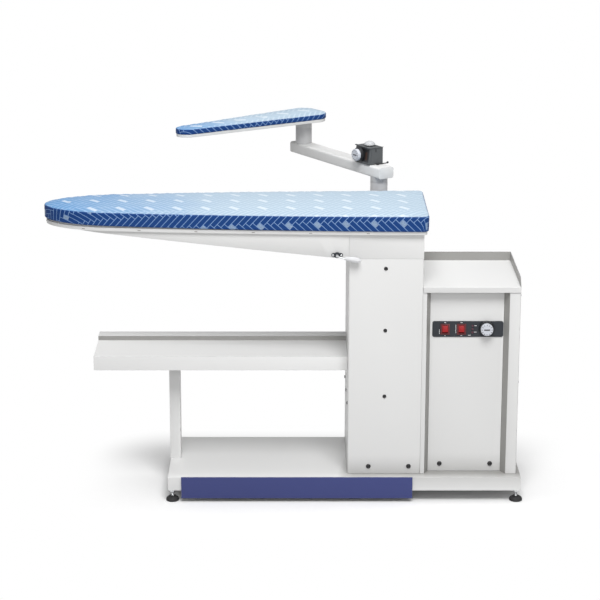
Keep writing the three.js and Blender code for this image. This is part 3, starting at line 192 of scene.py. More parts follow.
def coated_group():
    """Powder coat with orange peel; attributes of the mesh say where it is rubbed and where painted shade darkens
    it.
    """
    group, given, result = shader_group("coated", [
        ("Colour", "Color", (0.8, 0.8, 0.8, 1)), ("Rubbed", "Color", (0.6, 0.6, 0.6, 1)),
        ("Drift", "Float", 0.04), ("Wear", "Float", 0.3), ("Roughness", "Float", 0.45)], FINISH_OUTPUTS)
    place = object_place(group)
    tinted = scaled(group, given["Colour"], swung(group, cloudy(group, place, 2.4, 3.0), given["Drift"], 1.0))
    patchy = spread(group, cloudy(group, place, 46.0, 4.0), 0.42, 0.62)
    worn = calc(group, "MULTIPLY", calc(group, "MULTIPLY", attribute(group, "edge"), patchy), given["Wear"])
    # Painted shade, as much as the mesh's attribute gives
    shaded_coat = mixed(group, calc(group, "MULTIPLY", attribute(group, "painted_shade"), FULL_SHADE), tinted, SHADE_GREY)
    feed(group, result["Colour"], mixed(group, worn, shaded_coat, given["Rubbed"]))
    smudge = cloudy(group, place, 9.0, 5.0)
    feed(group, result["Roughness"], swung(group, smudge, 0.16, given["Roughness"]))
    feed(group, result["Height"], cloudy(group, place, 520.0, 2.0))
    return group


def grained_group():
    """Fine moulded or cast grain with a little drift of shade."""
    group, given, result = shader_group("grained", [
        ("Colour", "Color", (0.1, 0.1, 0.1, 1)), ("Drift", "Float", 0.15), ("Scale", "Float", 700.0),
        ("Roughness", "Float", 0.5)], FINISH_OUTPUTS)
    place = object_place(group)
    slow = cloudy(group, place, 30.0, 4.0)
    feed(group, result["Colour"], scaled(group, given["Colour"], swung(group, slow, given["Drift"], 1.0)))
    feed(group, result["Roughness"], swung(group, slow, given["Drift"], given["Roughness"]))
    feed(group, result["Height"], cloudy(group, place, given["Scale"], 2.0))
    return group


def brushed_group():
    """Drawn or rolled metal: streaks along one direction and a mottled zinc shade."""
    group, given, result = shader_group("brushed", [
        ("Colour", "Color", (0.6, 0.6, 0.6, 1)), ("Streaks", "Vector", (30.0, 900.0, 900.0)),
        ("Roughness", "Float", 0.35)], FINISH_OUTPUTS)
    place = object_place(group)
    streak = cloudy(group, scaled(group, place, given["Streaks"]), 1.0, 3.0)
    bloom = shader(group, "TexVoronoi", {"Vector": place, "Scale": 60.0}).outputs["Color"]
    grey = shader(group, "RGBToBW", [bloom]).outputs[0]
    feed(group, result["Colour"], scaled(group, given["Colour"], swung(group, grey, 0.12, 1.0)))
    feed(group, result["Roughness"], swung(group, streak, 0.25, given["Roughness"]))
    feed(group, result["Height"], streak)
    return group


def herringbone_group():
    """Thin and wide lines between herringbone blocks, and squares and bars on lying blocks of one row in four."""
    group, given, result = shader_group("herringbone", [
        ("Place", "Vector", None), ("Width", "Float", 0.0152), ("Line", "Float", 0.04)],
        [("Lines", "Float"), ("Wide Lines", "Float"), ("Squares", "Float"), ("Bars", "Float")])
    block = 4.0
    patch_rim = 0.08
    slanted = {"Vector": given["Place"], "Rotation": (0, 0, math.radians(45))}
    axes = shader(group, "SeparateXYZ", [shader(group, "Mapping", slanted).outputs[0]]).outputs
    r = calc(group, "DIVIDE", axes[0], given["Width"])
    s = calc(group, "DIVIDE", axes[1], given["Width"])
    r_part, s_part = calc(group, "FRACT", r), calc(group, "FRACT", s)
    row = calc(group, "FLOOR", s)
    phase = calc(group, "FLOORED_MODULO", calc(group, "SUBTRACT", calc(group, "FLOOR", r), row), 2 * block)
    lying = calc(group, "LESS_THAN", phase, block)
    along_standing = calc(group, "ADD", calc(group, "SUBTRACT", 2 * block - 1, phase), s_part)
    along = between(group, lying, along_standing, calc(group, "ADD", phase, r_part))
    across = between(group, lying, r_part, s_part)
    end = calc(group, "MINIMUM", along, calc(group, "SUBTRACT", block, along))
    side = calc(group, "MINIMUM", across, calc(group, "SUBTRACT", 1.0, across))
    near = calc(group, "MINIMUM", end, side)
    for label, reach in (("Lines", 2.0), ("Wide Lines", 6.0)):
        beyond = calc(group, "MULTIPLY", given["Line"], reach)
        feed(group, result[label], spread(group, near, given["Line"], beyond, 1.0, 0.0))
    fourth_row = calc(group, "LESS_THAN", calc(group, "FLOORED_MODULO", row, block), 1.0)
    inside = calc(group, "GREATER_THAN", near, patch_rim)
    marked = calc(group, "MULTIPLY", calc(group, "MULTIPLY", lying, fourth_row), inside)
    for label, length in (("Squares", 1.4), ("Bars", 2.6)):
        start = spread(group, along, length - 0.1, length, 1.0, 0.0)
        feed(group, result[label], calc(group, "MULTIPLY", marked, start))
    return group


def weave_group():
    """Plain weave: threads over and under each other on the cloth's own map."""
    group, given, result = shader_group("weave", [("Place", "Vector", None), ("Pitch", "Float", 0.0011)],
                                        [("Height", "Float"), ("Thread", "Float")])
    axes = shader(group, "SeparateXYZ", [given["Place"]]).outputs
    turn = calc(group, "DIVIDE", math.pi, given["Pitch"])
    warp, weft = (calc(group, "SINE", calc(group, "MULTIPLY", axes[i], turn)) for i in (0, 1))
    feed(group, result["Height"], calc(group, "MULTIPLY_ADD", calc(group, "MULTIPLY", warp, weft), 0.5, 0.5))
    feed(group, result["Thread"], cloudy(group, given["Place"], 260.0, 3.0))
    return group


GROUPS = {"coated": coated_group(), "grained": grained_group(), "brushed": brushed_group()}
HERRINGBONE = herringbone_group()
WEAVE = weave_group()


# Finishes

RELIEF_DEPTH = 0.00005
CLOTH_RELIEF_DEPTH = 0.0003


def new_material(name):
    material = bpy.data.materials.new(name)
    material.use_nodes = True
    return material, material.node_tree, material.node_tree.nodes["Principled BSDF"]


def raised(tree, surface, strength, depth, height):
    relief = shader(tree, "Bump", {"Strength": strength, "Distance": depth, "Height": height}).outputs[0]
    feed(tree, surface.inputs["Normal"], relief)


def finish(name, group, bump, values, **principled):
    """A material whose colour, roughness and relief come from one of the shared groups."""
    material, tree, surface = new_material(name)
    out = place_group(tree, GROUPS[group], **values)
    feed(tree, surface.inputs["Base Color"], out["Colour"])
    feed(tree, surface.inputs["Roughness"], out["Roughness"])
    raised(tree, surface, bump, RELIEF_DEPTH, out["Height"])
    for key, value in principled.items():
        surface.inputs[key.replace("_", " ")].default_value = value
    return material


def coat(name, colour, rubbed=(0.5, 0.5, 0.5), drift=0.03, wear=0.35, roughness=0.42, bump=0.1, **principled):
    return finish(name, "coated", bump, {"Colour": (*colour, 1), "Rubbed": (*rubbed, 1), "Drift": drift,
                                         "Wear": wear, "Roughness": roughness}, **principled)


def moulding(name, colour, roughness=0.5, drift=0.15, bump=0.05, **principled):
    values = {"Colour": (*colour, 1), "Drift": drift, "Roughness": roughness}
    return finish(name, "grained", bump, values, **principled)


def lamp_lens(name, colour, glow):
    """Clear coloured plastic that is lit a little from behind."""
    return moulding(name, colour, 0.36, 0.08, 0.02, Emission_Color=(*colour, 1), Emission_Strength=glow,
                    Specular_IOR_Level=0.3)


SIDE_SHIFT = 0.026
SIDE_BLUE = (0.007, 0.046, 0.19, 1)
SIDE_LINE = (0.25, 0.40, 0.66, 1)
SIDE_PATCH = (0.38, 0.50, 0.64, 1)
# The top colours below carry a painted sheen that grows away from the nose, so the top is lighter than the sides
TOP_NOSE_SHEEN = (0.12, 0.28, 0.52, 1)
TOP_FAR_SHEEN = (0.39, 0.50, 0.60, 1)
NOSE_LINE = (0.28, 0.43, 0.65, 1)
TOP_LINE_SHEEN = (0.54, 0.63, 0.71, 1)
TOP_PATCH_GLINT = (0.74, 0.79, 0.83, 1)
LINE_STRENGTH = 0.8


def cover_cloth(name):
    """Printed cotton: dark blue down the sides, and a painted sheen that makes the top pale, most of all away from
    the nose.
    """
    material, tree, surface = new_material(name)
    place = shader(tree, "UVMap", uv_map="cloth").outputs[0]
    top = attribute(tree, "top")
    lowered = shader(tree, "CombineXYZ", {"Y": calc(tree, "MULTIPLY_ADD", top, -SIDE_SHIFT, SIDE_SHIFT)}).outputs[0]
    print_place = shader(tree, "VectorMath", [place, lowered], operation="ADD").outputs[0]
    pattern = place_group(tree, HERRINGBONE, Place=print_place)
    cloth = place_group(tree, WEAVE, Place=place)
    # Painted sheen: the top lighter than the sides, and paler, a little unevenly, away from the nose
    sheen_along = calc(tree, "MULTIPLY_ADD", cloudy(tree, place, 7.0, 3.0), 0.3, attribute(tree, "sheen_along"))
    sheen_share = spread(tree, sheen_along, 0.1, 0.72)
    blue = mixed(tree, top, SIDE_BLUE, mixed(tree, sheen_share, TOP_NOSE_SHEEN, TOP_FAR_SHEEN))
    ground = scaled(tree, blue, swung(tree, cloth["Thread"], 0.35, 1.0))
    lines = calc(tree, "MULTIPLY", between(tree, top, pattern["Lines"], pattern["Wide Lines"]), LINE_STRENGTH)
    lined = mixed(tree, lines, ground, mixed(tree, top, SIDE_LINE, mixed(tree, sheen_share, NOSE_LINE, TOP_LINE_SHEEN)))
    patch = between(tree, top, pattern["Squares"], pattern["Bars"])
    patches = calc(tree, "MULTIPLY", patch, swung(tree, cloth["Thread"], 0.9, 0.6))
    # The patches are print; on the top they are brightened by a painted glint
    colour = mixed(tree, patches, lined, mixed(tree, top, SIDE_PATCH, TOP_PATCH_GLINT))
    feed(tree, surface.inputs["Base Color"], colour)
    feed(tree, surface.inputs["Roughness"], calc(tree, "MULTIPLY_ADD", cloth["Thread"], 0.2, 0.6))
    raised(tree, surface, 0.35, CLOTH_RELIEF_DEPTH, cloth["Height"])
    surface.inputs["Specular IOR Level"].default_value = 0.2
    surface.inputs["Sheen Weight"].default_value = 0.06
    surface.inputs["Sheen Roughness"].default_value = 0.4
    return material


DARK_RUBBED = (0.3, 0.3, 0.3)
FINISHES = {
    "casing": coat("light_powder_coat", (0.69, 0.69, 0.685)),
    # A lighter copy of the casing coat for base and tray: painted light that makes up for the board's shade over
    # them
    "casing_painted_lighter": coat("casing_coat_painted_lighter", (0.755, 0.755, 0.75)),
    "dark_paint": coat("dark_powder_coat", (0.038, 0.042, 0.049), DARK_RUBBED, 0.1, 0.4, 0.5, bump=0.2,
                       Specular_IOR_Level=0.2),
    "arm_paint": coat("grey_housing_coat", (0.082, 0.088, 0.092), DARK_RUBBED, 0.1, 0.4, 0.45, bump=0.2),
    "pillar_paint": coat("grey_pillar_coat", (0.50, 0.50, 0.505), drift=0.06, wear=0.4, roughness=0.34),
    "pedal_paint": coat("blue_pedal_coat", (0.032, 0.044, 0.175), (0.25, 0.26, 0.3), 0.12, 0.6, 0.4),
    "bare_steel": finish("zinc_plated_steel", "brushed", 0.06, {
        "Colour": (0.62, 0.63, 0.64, 1), "Roughness": 0.32}, Metallic=1.0),
    "cast_alloy": finish("cast_alloy", "grained", 0.3, {
        "Colour": (0.55, 0.56, 0.57, 1), "Scale": 380.0, "Roughness": 0.48}, Metallic=1.0),
    "brown_board": moulding("terminal_board_brown", (0.055, 0.03, 0.022), 0.45, 0.4, 0.1),
    "rubber": moulding("black_rubber", (0.02, 0.02, 0.021), 0.7, 0.3, 0.25),
    "black_plastic": moulding("black_moulding", (0.025, 0.026, 0.028), 0.42, bump=0.15),
    "white_plastic": moulding("white_moulding", (0.66, 0.665, 0.68), 0.34, 0.04),
    "rocker_frame": moulding("dark_red_moulding", (0.10, 0.012, 0.014), 0.4),
    "dial_skirt": moulding("dial_skirt_moulding", (0.008, 0.009, 0.011)),
    "dome_face": moulding("pale_dome_moulding", (0.50, 0.51, 0.525), 0.5, 0.04),
    "dial_face": moulding("pale_dial_moulding", (0.58, 0.60, 0.65), 0.3, 0.04),
    "red_plastic": lamp_lens("red_rocker_plastic", (0.31, 0.01, 0.012), 0.04),
    "cover_cloth": cover_cloth("printed_cover_cloth"),
}
LAMP_RED = lamp_lens("lamp_lens", (0.10, 0.045, 0.06), 0.0)
PRINT_WHITE = moulding("white_print", (0.8, 0.8, 0.8), drift=0.1, bump=0.0)
PRINT_BLACK = moulding("black_print", (0.03, 0.03, 0.035), drift=0.1, bump=0.0)
CLIP_GREY = moulding("grey_clip", (0.26, 0.25, 0.24), drift=0.3, bump=0.1)
SCREW_BLACK = moulding("black_oxide_screw", (0.02, 0.02, 0.021), 0.4, bump=0.1, Metallic=0.2)

# Nodes whose look differs from that of their slot; base and tray take a lighter copy of the casing coat as painted
# light
OTHER_LOOK = {"base_pan": "casing_painted_lighter", "cloth_tray": "casing_painted_lighter", "arm_control_housing": "arm_paint",
              "vacuum_rocker_housing": "rocker_frame", "heater_rocker_housing": "rocker_frame"}
SLOT_OF = {part["node"]: part["material_slot"] for part in frame["record"]["subparts"]}


# Making and keeping meshes

SHARP = math.radians(30)
STRIP_SHARE = 0.8
SAME_POINT = 0.01 * MM
SAME_PLANE = math.radians(0.4)


def new_piece(name, bm, material):
    mesh = bpy.data.meshes.new(name)
    bm.to_mesh(mesh)
    bm.free()
    mesh.materials.append(material)
    piece = bpy.data.objects.new(name, mesh)
    bpy.context.scene.collection.objects.link(piece)
    return piece


def settled(piece):
    """Makes what a piece's modifiers do part of its mesh."""
    graph = bpy.context.evaluated_depsgraph_get()
    graph.update()
    done = piece.evaluated_get(graph)
    mesh = bpy.data.meshes.new_from_object(done, preserve_all_data_layers=True, depsgraph=graph)
    piece.modifiers.clear()
    piece.data = mesh
    return piece


def smooth(piece):
    for face in piece.data.polygons:
        face.use_smooth = True


def round_edges(piece, width, segments=3):
    """Rounds the sharp edges, and marks the small new faces by the edge attribute, where paint rubs off."""
    bevel = piece.modifiers.new("rounded", "BEVEL")
    bevel.width = width
    bevel.segments = segments
    bevel.limit_method = "ANGLE"
    bevel.angle_limit = SHARP
    bevel.harden_normals = True
    bevel.use_clamp_overlap = True
    smooth(piece)
    settled(piece)
    mesh = piece.data
    marks = [1.0] * len(mesh.vertices)
    for face in mesh.polygons:
        corners = [mesh.vertices[v].co for v in face.vertices]
        longest = max((a - b).length for a, b in zip(corners, corners[1:] + corners[:1]))
        if face.area > longest * width * STRIP_SHARE:
            for v in face.vertices:
                marks[v] = 0.0
    edge = mesh.attributes.new("edge", "FLOAT", "POINT")
    edge.data.foreach_set("value", marks)
    return piece


def keep(piece, body, slot, *replaced):
    """Gives a finished piece its body and hides the nodes it stands for; the slot argument is not used."""
    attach(piece, body)
    if replaced:
        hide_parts(*replaced)
    return piece


def softened(name, width):
    """A copy of a CAD node with its edges rounded as bent and coated sheet has them."""
    bm = bmesh.new()
    bm.from_mesh(nodes[name].data)
    bmesh.ops.remove_doubles(bm, verts=bm.verts, dist=SAME_POINT)
    bmesh.ops.dissolve_limit(bm, angle_limit=SAME_PLANE, verts=bm.verts, edges=bm.edges)
    slot = SLOT_OF[name]
    piece = round_edges(new_piece(name + "_finished", bm, FINISHES[OTHER_LOOK.get(name, slot)]), width)
    return keep(piece, nodes[name]["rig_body"], slot, name)


def shade_faces(piece, where):
    """Marks the faces that get painted shade, by a test on each face's middle and normal."""
    marks = [1.0 if where(face.center, face.normal) else 0.0 for face in piece.data.polygons]
    piece.data.attributes.new("painted_shade", "FLOAT", "FACE").data.foreach_set("value", marks)


def painted(piece, finish_name, where):
    """Gives some faces of a piece a second finish."""
    piece.data.materials.append(FINISHES[finish_name])
    for face in piece.data.polygons:
        if where(face.center):
            face.material_index = 1


def joint_place(name):
    return Vector(joints[name]["pos_m"])


def turned_mesh(profile, steps=64):
    """A closed body round Z from [radius, height] pairs in mm; a radius may follow the turn about Z."""
    bm = bmesh.new()
    rings = []
    for radius, height in profile:
        if radius == 0:
            rings.append([bm.verts.new((0, 0, height * MM))])
            continue
        ring = []
        for i in range(steps):
            turn = 2 * math.pi * i / steps
            r = (radius(turn) if callable(radius) else radius) * MM
            ring.append(bm.verts.new((r * math.cos(turn), r * math.sin(turn), height * MM)))
        rings.append(ring)
    for low, high in zip(rings, rings[1:]):
        for i in range(steps):
            j = (i + 1) % steps
            corners = [low[i % len(low)], low[j % len(low)], high[j % len(high)], high[i % len(high)]]
            distinct = list(dict.fromkeys(corners))
            if len(distinct) > 2:
                bm.faces.new(distinct)
    bmesh.ops.recalc_face_normals(bm, faces=bm.faces)
    return bm


def turned_piece(name, profile, place, material, width=0.3 * MM, steps=64):
    bm = turned_mesh(profile, steps)
    bmesh.ops.transform(bm, matrix=place, verts=bm.verts)
    return round_edges(new_piece(name, bm, material), width, segments=2)


def hexagon(flat):
    """The radius of a hexagon by turn, from half its width across flats."""
    return lambda turn: flat / math.cos(turn % (math.pi / 3) - math.pi / 6)


def fluted(radius, depth, count):
    return lambda turn: radius - depth * (0.5 + 0.5 * math.cos(turn * count))


def box_mesh(size, place):
    """A block about the middle of its lower face, put in place by a matrix."""
    bm = bmesh.new()
    bmesh.ops.create_cube(bm, size=1)
    bmesh.ops.transform(bm, matrix=Matrix.Translation((0, 0, 0.5)), verts=bm.verts)
    bmesh.ops.transform(bm, matrix=place @ Matrix.Diagonal((*size, 1)), verts=bm.verts)
    return bm


def joined(name, meshes, material):
    """Several small bmeshes as one piece."""
    whole = bmesh.new()
    for bm in meshes:
        step = bpy.data.meshes.new("step")
        bm.to_mesh(step)
        bm.free()
        whole.from_mesh(step)
        bpy.data.meshes.remove(step)
    return new_piece(name, whole, material)


def facing(direction, place):
    """A matrix that turns Z to a direction and moves to a place."""
    turn = Vector(direction).to_track_quat("Z", "Y").to_matrix().to_4x4()
    return Matrix.Translation(place) @ turn


# Geometry node trees for what repeats

def geometry_tree(name, inputs):
    tree = bpy.data.node_groups.new(name, "GeometryNodeTree")
    tree.interface.new_socket("Geometry", in_out="INPUT", socket_type="NodeSocketGeometry")
    add_inputs(tree, inputs)
    tree.interface.new_socket("Geometry", in_out="OUTPUT", socket_type="NodeSocketGeometry")
    return tree, tree.nodes.new("NodeGroupInput").outputs, tree.nodes.new("NodeGroupOutput").inputs


def geo(tree, kind, inputs=(), prefix="GeometryNode", **settings):
    return add_node(tree, prefix + kind, inputs, settings).outputs


def copied(tree, result, material, **inputs):
    """Ends a tree with copies of a part on points, as one mesh of one material."""
    instances = geo(tree, "InstanceOnPoints", inputs)[0]
    solid = geo(tree, "RealizeInstances", [instances])[0]
    feed(tree, result["Geometry"], geo(tree, "SetMaterial", {"Geometry": solid, "Material": material})[0])


def placed_tree():
    """Copies of one part on points, each with its Z along the point's facing."""
    tree, given, result = geometry_tree("parts_on_points", [
        ("Part", "Object", None), ("Scale", "Float", 1.0), ("Finish", "Material", None)])
    way = geo(tree, "InputNamedAttribute", {"Name": "facing"}, data_type="FLOAT_VECTOR")[0]
    turn = geo(tree, "AlignRotationToVector", {"Vector": way}, prefix="FunctionNode", axis="Z")[0]
    part = geo(tree, "ObjectInfo", {"Object": given["Part"]})["Geometry"]
    spots = geo(tree, "MeshToPoints", {"Mesh": given["Geometry"]})[0]
    copied(tree, result, given["Finish"], Points=spots, Instance=part, Rotation=turn, Scale=given["Scale"])
    return tree


def edge_tree():
    """Copies of one part along an outline, a spacing apart, each with its X along the outline."""
    tree, given, result = geometry_tree("parts_along_edge", [
        ("Part", "Object", None), ("Spacing", "Float", 0.1), ("Finish", "Material", None)])
    line = geo(tree, "MeshToCurve", {"Mesh": given["Geometry"]})[0]
    spots = geo(tree, "ResampleCurve", {"Curve": line, "Length": given["Spacing"]}, mode="LENGTH")[0]
    way = geo(tree, "InputTangent")[0]
    turn = geo(tree, "AlignRotationToVector", {"Vector": way}, prefix="FunctionNode", axis="X", pivot_axis="Z")[0]
    part = geo(tree, "ObjectInfo", {"Object": given["Part"]})["Geometry"]
    copied(tree, result, given["Finish"], Points=spots, Instance=part, Rotation=turn)
    return tree


def ring_tree():
    """Marks round a dial: a count of small bars at a radius, each pointing outwards."""
    tree, given, result = geometry_tree("dial_marks", [
        ("Count", "Int", 12), ("Radius", "Float", 0.01), ("Size", "Vector", (0.002, 0.0004, 0.0002)),
        ("Finish", "Material", None)])
    ring = geo(tree, "MeshCircle", {"Vertices": given["Count"], "Radius": given["Radius"]})[0]
    place = geo(tree, "InputPosition")[0]
    turn = geo(tree, "AlignRotationToVector", {"Vector": place}, prefix="FunctionNode", axis="X", pivot_axis="Z")[0]
    bar = geo(tree, "MeshCube", {"Size": given["Size"]})[0]
    spots = geo(tree, "MeshToPoints", {"Mesh": ring})[0]
    copied(tree, result, given["Finish"], Points=spots, Instance=bar, Rotation=turn)
    return tree


PLACED = placed_tree()
EDGE = edge_tree()
RING = ring_tree()


def grown(name, tree, base, values, place=None):
    """Runs a geometry node tree on a base mesh and keeps its result as a plain piece."""
    piece = bpy.data.objects.new(name, base)
    bpy.context.scene.collection.objects.link(piece)
    modifier = piece.modifiers.new("grown", "NODES")
    modifier.node_group = tree
    for item in tree.interface.items_tree:
        if item.in_out == "INPUT" and item.name in values:
            modifier[item.identifier] = values[item.name]
    settled(piece)
    if place is not None:
        piece.data.transform(place)
    return piece


def points_mesh(name, places, ways):
    mesh = bpy.data.meshes.new(name)
    mesh.from_pydata([Vector(p) for p in places], [], [])
    facing_way = mesh.attributes.new("facing", "FLOAT_VECTOR", "POINT")
    facing_way.data.foreach_set("vector", [c for way in ways for c in way])
    return mesh


def part_shape(name, bm):
    """A small part that trees copy; it isn't shown itself."""
    mesh = bpy.data.meshes.new(name)
    bm.to_mesh(mesh)
    bm.free()
    return bpy.data.objects.new(name, mesh)


# Padded covers

CORNER_STEPS = 24
CURVE_STEPS = [i / 200 for i in range(1, 201)]


def half_outline(length, half, corner, shares, spacing):
    """Even points in mm from the middle of the wide end, at X 0, round one side to the nose."""
    side_bend, nose_start, nose_bend, tip = shares
    start = Vector((-corner, half))
    shoulder = Vector((-nose_start[0] * length, nose_start[1] * half))
    bend = Vector((-side_bend[0] * length, side_bend[1] * half))
    round_one = Vector((-nose_bend[0] * length, nose_bend[1] * half))
    round_two = Vector((-length, tip * half))
    nose = Vector((-length, 0))
    fine = [Vector((0, 0))]
    for i in range(CORNER_STEPS + 1):
        turn = math.pi / 2 * i / CORNER_STEPS
        fine.append(Vector((-corner + corner * math.cos(turn), half - corner + corner * math.sin(turn))))
    fine += [start * (1 - t) ** 2 + bend * (2 * t * (1 - t)) + shoulder * t ** 2 for t in CURVE_STEPS]
    fine += [shoulder * (1 - t) ** 3 + round_one * (3 * t * (1 - t) ** 2) + round_two * (3 * t ** 2 * (1 - t))
             + nose * t ** 3 for t in CURVE_STEPS]
    lengths = [0.0]
    for p, q in zip(fine, fine[1:]):
        lengths.append(lengths[-1] + (q - p).length)
    count = round(lengths[-1] / spacing)
    points = []
    at = 0
    for i in range(count + 1):
        want = lengths[-1] * i / count
        while lengths[at + 1] < want and at < len(fine) - 2:
            at += 1
        share = (want - lengths[at]) / (lengths[at + 1] - lengths[at])
        points.append(fine[at].lerp(fine[at + 1], share))
    return points


def full_outline(form, spacing):
    side = half_outline(form["length"], form["half"], form["corner"], form["shares"], spacing)
    return side + [Vector((p.x, -p.y)) for p in reversed(side[1:-1])]


def outward(points):
    """The outward normal at each point of a closed outline."""
    ways = []
    for i in range(len(points)):
        along = points[(i + 1) % len(points)] - points[i - 1]
        ways.append(Vector((along.y, -along.x)).normalized())
    return ways


HEM_BEND = 1.4
SIDE_STEP = 5
ROUNDED_AWAY = 0.43
EDGE_TURNS = ((22.5, 0.0), (45, 0.1), (67.5, 0.8), (90, 1.0))


def cover_rings(form):
    """The rings of a cover from the hem up: how far in, how high, how far down the cloth, and how much is top."""
    edge, bottom, side = form["edge"], form["bottom"], form["side"]
    top = bottom + side
    low = bottom + HEM_BEND
    rings = [(5.0, bottom + 0.6, side + 4, 0.0), (1.2, bottom - 0.4, side, 0.0)]
    steps = max(2, round((side - edge) / SIDE_STEP))
    for i in range(steps + 1):
        z = low + (top - edge - low) * i / steps
        rings.append((0.0, z, top - edge * ROUNDED_AWAY - z, 0.0))
    for turn, share in EDGE_TURNS:
        a = math.radians(turn)
        z = top - edge + edge * math.sin(a)
        rings.append((edge * (1 - math.cos(a)), z, edge * (math.pi / 2 - a - 1), share))
    return rings


def cover_piece(name, form, place, material):
    """The printed cover over its padding, built on the outline so that its map follows the cloth round the edge."""
    points = full_outline(form, form["grid"])
    points = [p + n * form["proud"] for p, n in zip(points, outward(points))]
    ways = outward(points)
    spine_ends = (-form["length"] + form["half"] * 0.55, -form["half"] * 0.8)
    rings = cover_rings(form)
    inner = round((form["half"] - form["edge"]) / form["grid"])
    side_top = form["bottom"] + form["side"]
    side_middle = form["bottom"] + form["side"] * 0.5
    verts, cloth, tops, pins = [], [], [], []
    for inset, z, down, share in rings:
        for p, n in zip(points, ways):
            spot = p - n * inset
            toward_nose = max(0, -spot.x / form["length"]) ** 1.5
            verts.append((spot.x, spot.y, z + form["rise"] * toward_nose * min(1, (side_top - z) / form["side"])))
            cloth.append(p + n * down)
            tops.append(share)
            pins.append(1.0 if share == 0 and z < side_middle else 0.5 * (1 - share))
    for k in range(1, inner + 1):
        for p, n in zip(points, ways):
            edge = p - n * form["edge"]
            spine = Vector((min(max(p.x, spine_ends[0]), spine_ends[1]), 0))
            t = k / inner
            spot = edge.lerp(spine, t)
            verts.append((spot.x, spot.y, side_top + form["crown"] * (1 - (1 - t) ** 2)))
            cloth.append(spot)
            tops.append(1.0)
            pins.append(0.0)
    ring = len(points)
    faces = []
    for k in range(len(rings) + inner - 1):
        for i in range(ring):
            j = (i + 1) % ring
            faces.append((k * ring + i, k * ring + j, (k + 1) * ring + j, (k + 1) * ring + i))
    mesh = bpy.data.meshes.new(name)
    mesh.from_pydata([Vector(v) * MM for v in verts], [], faces)
    uv = mesh.uv_layers.new(name="cloth")
    for loop in mesh.loops:
        uv.data[loop.index].uv = cloth[loop.vertex_index] * MM
    # How much painted sheen each point gets: none at the nose, full at the wide end
    sheen_along = [min(1.0, max(0.0, 1 + v[0] / form["length"])) for v in verts]
    for label, values in (("top", tops), ("sheen_along", sheen_along), ("hold", pins)):
        mesh.attributes.new(label, "FLOAT", "POINT").data.foreach_set("value", values)
    bm = bmesh.new()
    bm.from_mesh(mesh)
    bpy.data.meshes.remove(mesh)
    bmesh.ops.remove_doubles(bm, verts=bm.verts, dist=5 * SAME_POINT)
    bmesh.ops.recalc_face_normals(bm, faces=bm.faces)
    piece = new_piece(name, bm, material)
    smooth(piece)
    pucker(piece, form)
    settle_cloth(piece)
    piece.data.transform(place)
    return piece


PUCKERED = 0.6
PUCKER_WAY = Vector((1, 1, 0.3))
PUCKER = 0.9 * MM


def pucker(piece, form):
    """Draws the hem in a little unevenly, as an elastic edge does."""
    for vertex in piece.data.vertices:
        height = (vertex.co.z / MM - form["bottom"]) / form["side"]
        if height < PUCKERED:
            ripple = noise.noise(vertex.co * 38) + 0.6 * noise.noise(vertex.co * 95)
            share = (PUCKERED - max(height, 0)) / PUCKERED
            vertex.co += vertex.normal.xyz * PUCKER_WAY * ripple * PUCKER * share


CLOTH_FRAMES = 20
MOST_MOVE = 3.0 * MM


def settle_cloth(piece):
    """Lets the cover settle over its padding as cloth, held at the hem, and keeps the small moves."""
    held = piece.vertex_groups.new(name="held")
    for vertex, weight in zip(piece.data.vertices, piece.data.attributes["hold"].data):
        held.add([vertex.index], weight.value, "REPLACE")
    before = [vertex.co.copy() for vertex in piece.data.vertices]
    cloth = piece.modifiers.new("cloth", "CLOTH")
    settings = cloth.settings
    settings.quality = 5
    settings.mass = 0.3
    settings.tension_stiffness = settings.compression_stiffness = 15
    settings.bending_stiffness = 0.4
    settings.vertex_group_mass = "held"
    settings.shrink_min = -0.012
    settings.use_pressure = True
    settings.uniform_pressure_force = 1.2
    settings.effector_weights.gravity = 0
    cloth.collision_settings.use_collision = False
    cloth.point_cache.frame_start = 1
    cloth.point_cache.frame_end = CLOTH_FRAMES
    scene = bpy.context.scene
    for step in range(1, CLOTH_FRAMES + 1):
        scene.frame_set(step)
    settled(piece)
    scene.frame_set(1)
    for vertex, start in zip(piece.data.vertices, before):
        move = vertex.co - start
        vertex.co = start + move * (MOST_MOVE / (MOST_MOVE + move.length))


# Lengths in mm; shares give the outline's bends and the nose as parts of the length and of half the width
BOARD = {"length": 1163, "half": 176, "corner": 14, "proud": 5, "grid": 8, "bottom": 853.8, "side": 47, "crown": 7,
         "edge": 5, "rise": 7.5, "shares": ((0.43, 0.985), (0.836, 0.70), (0.93, 0.63), 0.29)}
SLEEVE = {"length": 562, "half": 70, "corner": 46, "proud": 2, "grid": 6, "bottom": 1055.3, "side": 16.5, "crown": 4,
          "edge": 3, "rise": 0, "shares": ((0.45, 0.79), (0.925, 0.5), (0.97, 0.47), 0.25)}
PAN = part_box("board_pan")
BOARD_PLACE = Matrix.Translation((PAN[1][0], (PAN[0][1] + PAN[1][1]) / 2, 0))
PILLAR = joint_place("sleeve_swivel")
SLEEVE_TURN = math.radians(36.3)
SLEEVE_END = 60 * MM
SLEEVE_PLACE = (Matrix.Translation((PILLAR.x, PILLAR.y, 0)) @ Matrix.Rotation(SLEEVE_TURN, 4, "Z")
                @ Matrix.Translation((SLEEVE_END, 0, 0)))

board_top = cover_piece("board_cover_cloth", BOARD, BOARD_PLACE, FINISHES["cover_cloth"])
keep(board_top, "frame", "cover_cloth", "board_cover")
sleeve_top = cover_piece("sleeve_cover_cloth", SLEEVE, SLEEVE_PLACE, FINISHES["cover_cloth"])
keep(sleeve_top, "sleeve_board", "cover_cloth", "sleeve_cover")


# Painted, moulded and plated parts

for name, node in nodes.items():
    node.data.materials.clear()
    node.data.materials.append(FINISHES[SLOT_OF[name]])

for name in ("lamp_1", "lamp_2", "lamp_3"):
    nodes[name].data.materials[0] = LAMP_RED

nodes["air_lever"].data.materials[0] = FINISHES["black_plastic"]

